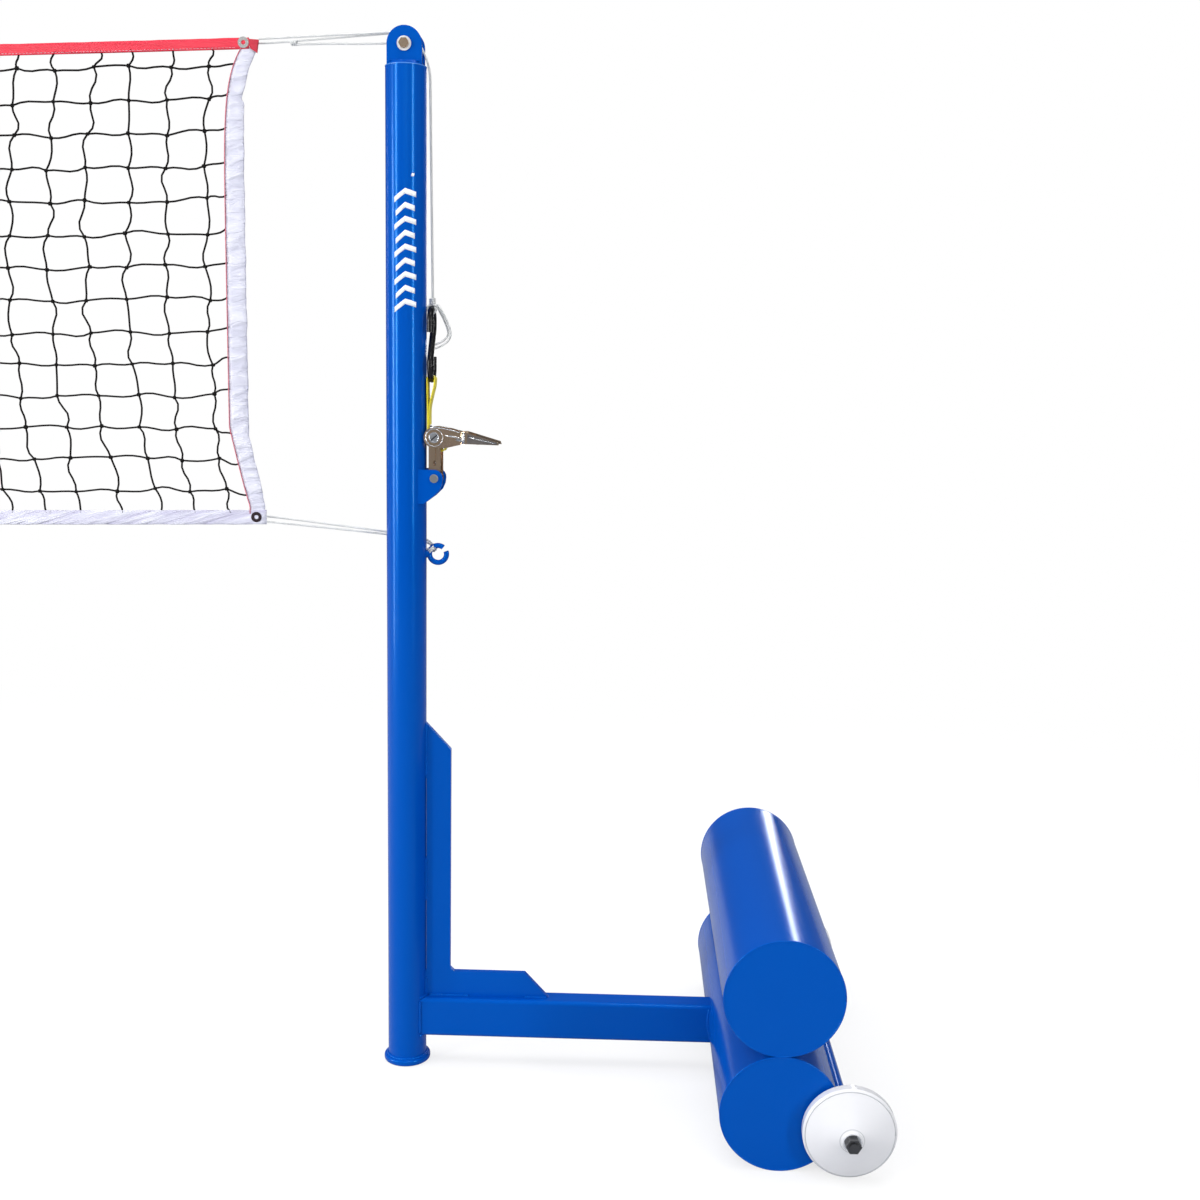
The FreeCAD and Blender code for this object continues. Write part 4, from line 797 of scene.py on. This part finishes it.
def make_spring(name, node, body, along, moving_end, length):
    """A five-turn spring, 6 mm shorter when its pawl is pulled right back."""
    wire, radius = 0.00045, 0.0026
    across = along.cross(Vector((0, 1, 0))).normalized()
    turns = [2 * math.pi * 5 * step / 120 for step in range(121)]
    points = [moving_end + along * (wire + (length - 2 * wire) * turn / turns[-1])
            + (across * math.cos(turn) + Vector((0, 1, 0)) * math.sin(turn)) * radius for turn in turns]
    coil = Loops()
    coil.strand(points, wire, 8, along)
    piece = add_mesh(name, coil, "bright_zinc", body)
    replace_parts(piece, node)
    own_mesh(piece)


def make_springs():
    low, high = (Vector(corner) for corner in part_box("lock_spring"))
    middle = (low + high) / 2
    make_spring("lock_coil_spring", "lock_spring", "ratchet_body", Vector((0, 0, -1)),
            Vector((middle.x, 0, high.z)), high.z - low.z)
    low, high = (Vector(corner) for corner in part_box("release_spring"))
    middle = (low + high) / 2
    outward = Vector((0.996195, 0, -0.087156))
    make_spring("release_coil_spring", "release_spring", "handle", outward,
            Vector((middle.x, 0, middle.z)) - outward * 0.00555, 0.0111)


# ---- Painted weld seams and the post's badge ----
def weld_seam(mesh, points, radius, side, across=Vector((0, 1, 0))):
    """A rippled weld bead along points about a post."""
    path = about_post(points, side)
    fine = []
    for start, end in zip(path, path[1:]):
        count = max(int((end - start).length / 0.0009), 1)
        fine += [start.lerp(end, step / count) for step in range(count)]
    fine.append(path[-1])
    sizes = []
    travelled = 0.0
    for index, point in enumerate(fine):
        travelled += (point - fine[index - 1]).length if index else 0.0
        sizes.append(radius * (0.86 + 0.2 * abs(math.sin(math.pi * travelled / 0.0042))))
    mesh.strand(fine, sizes, 8, across)


def ring_points(radius, height, start=0, end=360, steps=40):
    turns = [math.radians(start + (end - start) * step / steps) for step in range(steps + 1)]
    return [(radius * math.cos(turn), radius * math.sin(turn), height) for turn in turns]


def make_weld_seams():
    seams = Loops()
    lengthwise = Vector((0, 0, 1))
    beam_top, beam_low, half_beam, half_gusset = 0.1086, 0.0456, 0.02, 0.00475
    reach = math.sqrt(POST_RADIUS ** 2 - half_gusset ** 2)
    for side in SIDES:
        for face in (-1, 1):
            y = face * (half_gusset + 0.0006)
            for low, high in ((0.47, 0.551), (0.268, 0.334), (0.1105, 0.138)):
                weld_seam(seams, [(reach + 0.0006, y, low), (reach + 0.0006, y, high)], 0.0022, side)
            for near, far in ((0.036, 0.098), (0.188, 0.223)):
                weld_seam(seams, [(near, y, beam_top + 0.0005), (far, y, beam_top + 0.0005)], 0.0023, side,
                        lengthwise)
            edge = math.sqrt(POST_RADIUS ** 2 - half_beam ** 2)
            weld_seam(seams, [(edge + 0.0004, face * (half_beam + 0.0004), beam_low + 0.005),
                    (edge + 0.0004, face * (half_beam + 0.0004), beam_top - 0.005)], 0.0024, side)
            heights = [beam_low + 0.004 + step * 0.0068 for step in range(9)]
            weld_seam(seams, [(WEIGHT_X - math.sqrt(WEIGHT_RADIUS ** 2 - (z - WEIGHT_RADIUS) ** 2) - 0.0006,
                    face * (half_beam + 0.0002), z) for z in heights], 0.0026, side)
        for height in (beam_top + 0.0004, beam_low - 0.0004):
            weld_seam(seams, ring_points(POST_RADIUS + 0.0004, height, -41, 41, 14), 0.0024, side,
                    lengthwise)
        weld_seam(seams, ring_points(POST_RADIUS + 0.0003, 0.0104), 0.0026, side, lengthwise)
        for face in (-1, 1):
            for near in (-1, 1):
                y = face * 0.014 + near * 0.0032
                weld_seam(seams, [(-0.0225, y, 1.5325), (0.0225, y, 1.5325)], 0.0016, side, lengthwise)
            lug = math.sqrt(POST_RADIUS ** 2 - 0.0199 ** 2)
            weld_seam(seams, [(lug + 0.0028, face * 0.0172, 0.897), (lug + 0.0028, face * 0.0172, 0.944)],
                    0.0016, side)
    add_mesh("painted_weld_seams", seams, "blue_paint")


def make_disc_rims():
    """The rounded, painted edge of each counterweight's end discs."""
    rims = Loops()
    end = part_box("weight_end_disc")[1][1] - 0.0007
    heights = (WEIGHT_RADIUS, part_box("weight_shell")[1][2] - WEIGHT_RADIUS)
    for side in SIDES:
        for height in heights:
            for face in (-1, 1):
                bead_ring(rims, (side * (POST_X + WEIGHT_X), height), face * end, WEIGHT_RADIUS - 0.0008,
                        0.0013, 96)
    add_mesh("weight_disc_rims", rims, "blue_paint")


def on_post(across, height, lift, side, turn):
    """A point on the post's skin: across is the distance round it from the middle of the badge."""
    angle = turn + across / POST_RADIUS
    return Vector((side * POST_X + (POST_RADIUS + lift) * math.sin(angle),
            -(POST_RADIUS + lift) * math.cos(angle), height))


def badge_bar(mesh, corners, side, turn):
    """A thin skewed bar on the post's skin; corners are (across, height) in order round it."""
    steps = 12
    loops = []
    for step in range(steps + 1):
        share = step / steps
        low = [corners[0][i] + (corners[1][i] - corners[0][i]) * share for i in (0, 1)]
        high = [corners[3][i] + (corners[2][i] - corners[3][i]) * share for i in (0, 1)]
        loops.append([on_post(*low, 0.00003, side, turn), on_post(*low, 0.0002, side, turn),
                on_post(*high, 0.0002, side, turn), on_post(*high, 0.00003, side, turn)])
    mesh.loft(loops)


def make_badge():
    """A plain white badge on the front of each post: a column of slanted chevrons under a dot."""
    white = finish_material("white_transfer", (0.88, 0.89, 0.91), (0.8, 0.82, 0.85), 0.4, 40.0, 0.35, 0.1,
            grain(900.0), 0.0001, 0.2, Coat_Weight=0.4, Coat_Roughness=0.12)
    thick, half_wide, lean = 0.0078, 0.0165, 0.004
    for side in SIDES:
        turn = 0.1
        badge = Loops()
        for index in range(9):
            z = 1.18 + index * 0.0196
            reach = half_wide - 0.0022 * (index % 2)
            for way in (-1, 1):
                foot, tip = (way * reach, z + way * lean), (0.0, z + 0.0085)
                badge_bar(badge, [foot, tip, (tip[0], tip[1] + thick), (foot[0], foot[1] + thick)], side,
                        turn)
        badge_bar(badge, [(0.009, 1.37), (0.013, 1.37), (0.014, 1.3745), (0.01, 1.3745)], side, turn)
        word = SIDE_WORD[side]
        add_mesh("post_chevron_badge_" + word, badge, "sheave_plastic", material=white)


# ---- Small hardware details ----
def ring_band(mesh, centre, axis_y, inner, outer, near, far, sides=36):
    """A flat ring about an axis along Y, as inner and outer walls with two faces."""
    start = len(mesh.verts)
    for reach, depth in ((inner, near), (outer, near), (outer, far), (inner, far)):
        for turn in around(sides):
            mesh.verts.append(Vector((centre[0] + reach * math.cos(turn), axis_y + depth,
                    centre[1] + reach * math.sin(turn))))
    for row in range(4):
        mesh.faces += ring_faces(start + row * sides, start + (row + 1) % 4 * sides, sides)


def bead_ring(mesh, centre, depth, radius, thick, steps=48):
    """A round bead pressed or moulded in a ring about an axis along Y."""
    points = [Vector((centre[0] + radius * math.cos(turn), depth, centre[1] + radius * math.sin(turn)))
            for turn in around(steps, 1)]
    mesh.strand(points, thick, 8, Vector((0, 1, 0)))


def make_head_washers():
    """Bright washers under the bolt heads and nuts at the post heads, and a rim on each post's cap painted a
    lighter blue as a highlight.
    """
    rims = Loops()
    polished = finish_material("satin_washer", (0.88, 0.88, 0.87), (0.62, 0.62, 0.62), 0.6, 160.0, 0.3, 0.1,
            grain(900.0), 0.0001, 0.3, Metallic=0.35)
    for side in SIDES:
        washers = Loops()
        centre = (side * POST_X, SHEAVE_HEIGHT)
        for near, far in ((-0.0193, -0.0185), (0.0185, 0.0193)):
            ring_band(washers, centre, 0.0, 0.007, 0.0103, near, far)
        add_mesh("head_washer_" + SIDE_WORD[side], washers, "bright_zinc", smooth=False, material=polished)
        points = about_post(ring_points(POST_RADIUS - 0.0005, 1.5265, steps=60), side)
        rims.strand(points, 0.0009, 8, Vector((0, 0, 1)))
    # Painted highlight: the cap rims are a lighter blue than the paint, standing for the light line along the
    # tube's top rim.
    cap_rim_painted_highlight = finish_material("blue_edge_painted_highlight", (0.06, 0.24, 0.66), (0.02, 0.16, 0.58), 0.6, 30.0,
            0.18, 0.06, grain(900.0), 0.0001, 0.2, Coat_Weight=0.6, Coat_Roughness=0.1)
    add_mesh("post_cap_rims", rims, "blue_paint", material=cap_rim_painted_highlight)


def make_handle_details():
    """Pressed beads, a folded flange and the joggle's band on the ratchet handle, in bright zinc lighter than
    the handle as painted highlights, with a painted highlight line on its dark grip.
    """
    axis = (POST_X + DRUM[0], DRUM[1])

    def spots(points, depth):
        return [Vector((axis[0] + x / 1000, depth, axis[1] + z / 1000)) for x, z in points]

    # The bright zinc pieces are lighter than the yellow handle: the beads and flange are partly real relief
    # and partly painted highlight, the joggle band is a painted highlight.
    bright, grips, nub = Loops(), Loops(), Loops()
    for way in (-1, 1):
        face, flared = way * 0.0208, way * 0.0248
        bright.strand(spots([(-6, 14.5), (2, 15.4), (12, 14.2), (22, 12.3), (30, 10.4), (38, 8.4)], face),
                0.0009, 8, Vector((0, 1, 0)))
        bright.strand(spots([(16, 3.2), (24, 2.6), (32, 1.4), (40, -0.4)], face),
                [0.0008, 0.0015, 0.0015, 0.0008], 10, Vector((0, 1, 0)))
        bead_ring(bright, axis, face, 0.0128, 0.0007)
        joggle = [spots([(x0, z) for z in (8.6, 4.0, -1.5, -8.6)], depth) for x0,
                depth in ((40.6, way * 0.02145), (45.6, way * 0.02475), (45.9, way * 0.02515),
                (40.4, way * 0.0218))]
        bright.loft([[column[row] for column in joggle] for row in range(4)])
        outline = [(49.5, -7.6), (94.0, -8.9), (95.0, -5.6), (50.0, 6.6)]
        grips.loft([spots(outline, flared), spots(outline, flared + way * 0.0008)])
        # Painted highlight: a bright line along the middle of each grip.
        bright.strand(spots([(52, 2.2), (66, -1.6), (80, -4.6), (92, -6.8)], flared + way * 0.0008), 0.0007,
                8, Vector((0, 1, 0)))
    nub.strand(spots([(-4.0, 14.2), (-4.8, 16.2), (-5.4, 17.9)], -0.0198), [0.0016, 0.0017, 0.0012], 10)
    add_mesh("handle_beads_painted_highlight", bright, "bright_zinc", "handle")
    add_mesh("handle_grip_skins", grips, "vinyl_black", "handle", smooth=False,
            material=finish_material("dark_grip_moulding", (0.055, 0.05, 0.048), (0.16, 0.14, 0.13), 0.7,
            60.0, 0.4, 0.1, grain(600.0), 0.0002, 0.4))
    add_mesh("handle_stop_nub", nub, "dark_zinc", "handle")
    ends, slots = Loops(), Loops()
    for way in (-1, 1):
        face = way * 0.0231
        bead_ring(ends, axis, face, 0.0068, 0.0006)
        # Painted shade: dark bars at each drum end stand for the shade inside its slot.
        bar = [(-5.4, -3.4), (-4.2, -5.0), (5.4, 3.4), (4.2, 5.0)]
        slots.loft([spots(bar, face + way * 0.0001), spots(bar, face - way * 0.0012)])
    add_mesh("drum_end_beads", ends, "bright_zinc", "drum")
    add_mesh("drum_end_slot_shade", slots, "dark_zinc", "drum", smooth=False)


def make_wheel_details():
    """Grey rings on the outer face of each wheel: painted shade standing for a moulded rim line and a hub
    ring.
    """
    for name in ("wheel_right_front", "wheel_right_rear", "wheel_left_front", "wheel_left_rear"):
        low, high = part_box(name)
        centre = ((low[0] + high[0]) / 2, (low[2] + high[2]) / 2)
        way = -1 if low[1] < 0 else 1
        inner_face = min(abs(low[1]), abs(high[1]))
        lines = Loops()
        bead_ring(lines, centre, way * (inner_face + 0.02), 0.0616, 0.0007, 64)
        bead_ring(lines, centre, way * (inner_face + 0.0372), 0.0165, 0.0009, 40)
        add_mesh(name + "_rim_lines", lines, "wheel_plastic", name, material=WHEEL_GROOVE_SHADE)


# Painted shade: a grey darker than the white wheel, for the shade in its moulded lines.
WHEEL_GROOVE_SHADE = finish_material("wheel_groove_painted_shade", (0.5, 0.51, 0.53), (0.36, 0.37, 0.39), 0.6, 40.0, 0.3)


# ---- Stage ----
def camera_sees(tree, seen, otherwise, output):
    """Mixes two shaders so that what the camera sees directly can be brighter than what reflects."""
    path = add_node(tree, "ShaderNodeLightPath")
    mix = add_node(tree, "ShaderNodeMixShader", feeds=(path.outputs["Is Camera Ray"], otherwise.outputs[0],
            seen.outputs[0]))
    tree.links.new(mix.outputs[0], output.inputs["Surface"])


def make_floor():
    bpy.ops.mesh.primitive_plane_add(size=80.0, location=(0, 0, 0))
    floor = bpy.context.object
    floor.name = "floor"
    made = bpy.data.materials.new("pale_floor")
    made.use_nodes = True
    tree = made.node_tree
    tree.nodes.remove(tree.nodes["Principled BSDF"])
    lit = add_node(tree, "ShaderNodeBsdfDiffuse", Color=(0.95, 0.95, 0.95, 1.0))
    bright = add_node(tree, "ShaderNodeEmission", Color=(1.0, 1.0, 1.0, 1.0), Strength=1.0)
    otherwise = add_node(tree, "ShaderNodeBsdfDiffuse", Color=(0.34, 0.35, 0.37, 1.0))
    place = add_node(tree, "ShaderNodeTexCoord")
    either_side = add_node(tree, "ShaderNodeVectorMath", operation="ABSOLUTE",
            feeds=(place.outputs["Object"],))
    past_the_set = add_node(tree, "ShaderNodeVectorMath", "distance beyond the wheels",
            operation="SUBTRACT", feeds=(either_side.outputs["Vector"],))
    past_the_set.inputs[1].default_value = (4.4, 0.0, 0.0)
    away = add_node(tree, "ShaderNodeVectorMath", operation="MAXIMUM",
            feeds=(past_the_set.outputs["Vector"],))
    reach = add_node(tree, "ShaderNodeVectorMath", operation="LENGTH", feeds=(away.outputs["Vector"],))
    fade = add_node(tree, "ShaderNodeMapRange", interpolation_type="SMOOTHSTEP", From_Min=0.6, From_Max=2.6,
            To_Min=0.72, Value=reach.outputs["Value"])
    seen = add_node(tree, "ShaderNodeMixShader", feeds=(fade.outputs["Result"], lit.outputs[0],
            bright.outputs[0]))
    camera_sees(tree, seen, otherwise, tree.nodes["Material Output"])
    floor.data.materials.append(made)


def make_world():
    world = bpy.data.worlds.new("studio")
    bpy.context.scene.world = world
    world.use_nodes = True
    tree = world.node_tree
    tree.nodes.remove(tree.nodes["Background"])
    seen = add_node(tree, "ShaderNodeBackground", Color=(1.0, 1.0, 1.0, 1.0), Strength=1.0)
    place = add_node(tree, "ShaderNodeTexCoord")
    parts = add_node(tree, "ShaderNodeSeparateXYZ", feeds=(place.outputs["Generated"],))
    glow = add_node(tree, "ShaderNodeMapRange", "brighter in front, darker behind", From_Min=-0.4,
            From_Max=0.3, To_Min=0.36, To_Max=0.07, Value=parts.outputs["Y"])
    otherwise = add_node(tree, "ShaderNodeBackground", Color=(0.92, 0.95, 1.0, 1.0),
            Strength=glow.outputs["Result"])
    camera_sees(tree, seen, otherwise, tree.nodes["World Output"])


def soft_light(name, place, target, size, watts, mirrored_in_gloss=True):
    data = bpy.data.lights.new(name, "AREA")
    data.shape = "RECTANGLE"
    data.size, data.size_y = size
    data.energy = watts
    lamp = bpy.data.objects.new(name, data)
    lamp.location = place
    lamp.rotation_euler = (Vector(target) - Vector(place)).to_track_quat("-Z", "Y").to_euler()
    lamp.visible_glossy = mirrored_in_gloss
    lamp.visible_camera = False
    bpy.context.scene.collection.objects.link(lamp)


def make_lights():
    """Tall soft panels at the front of each post, wide ones overhead, and a low one behind."""
    for side in SIDES:
        x = side * POST_X
        soft_light("left_panel", (x - 3.7, -3.3, 1.9), (x, 0, 0.8), (0.6, 3.2), 105.0)
        soft_light("right_panel", (x + 3.4, -3.2, 1.9), (x, 0, 0.8), (0.4, 3.0), 70.0)
        soft_light("front_panel", (x + 0.6, -4.6, 2.6), (x, 0, 0.7), (2.0, 1.2), 62.0, False)
        soft_light("overhead_panel", (x, 0.6, 5.0), (x, 0, 0), (6.0, 3.0), 185.0, False)
        soft_light("overhead_strip", (x + side * 0.6, -1.2, 3.6), (x + side * 0.6, -0.3, 0), (0.7, 0.7),
                12.0)
        soft_light("rear_strip", (x + side * 1.75, 4.5, 1.7), (x, 0, 0.3), (0.22, 2.4), 16.0)
        soft_light("rear_panel", (x, 4.5, 3.4), (x, 0, 0.6), (3.0, 1.5), 45.0, False)
    soft_light("low_strip", (POST_X - 2.4, -0.9, 1.0), (POST_X + 0.05, 0, 1.0), (0.3, 1.6), 16.0)
    bpy.context.scene.view_settings.view_transform = "Standard"


make_camera()
make_ropes()
make_knots()
finish_frame()
make_netting()
make_long_tape("sewn_top_tape", "top_tape", "tape_red", top_edge, TOP_TAPE, True, 0.0003, 0.012)
make_long_tape("sewn_bottom_tape", "bottom_tape", "tape_white", bottom_edge, BOTTOM_TAPE, False, 0.001,
        0.008)
for net_side in SIDES:
    make_side_tape(net_side)
make_eyelet_throats()
make_stitches()
make_corner_folds()
make_webbing()
make_springs()
make_weld_seams()
make_disc_rims()
make_badge()
make_head_washers()
make_handle_details()
make_wheel_details()
make_floor()
make_world()
make_lights()
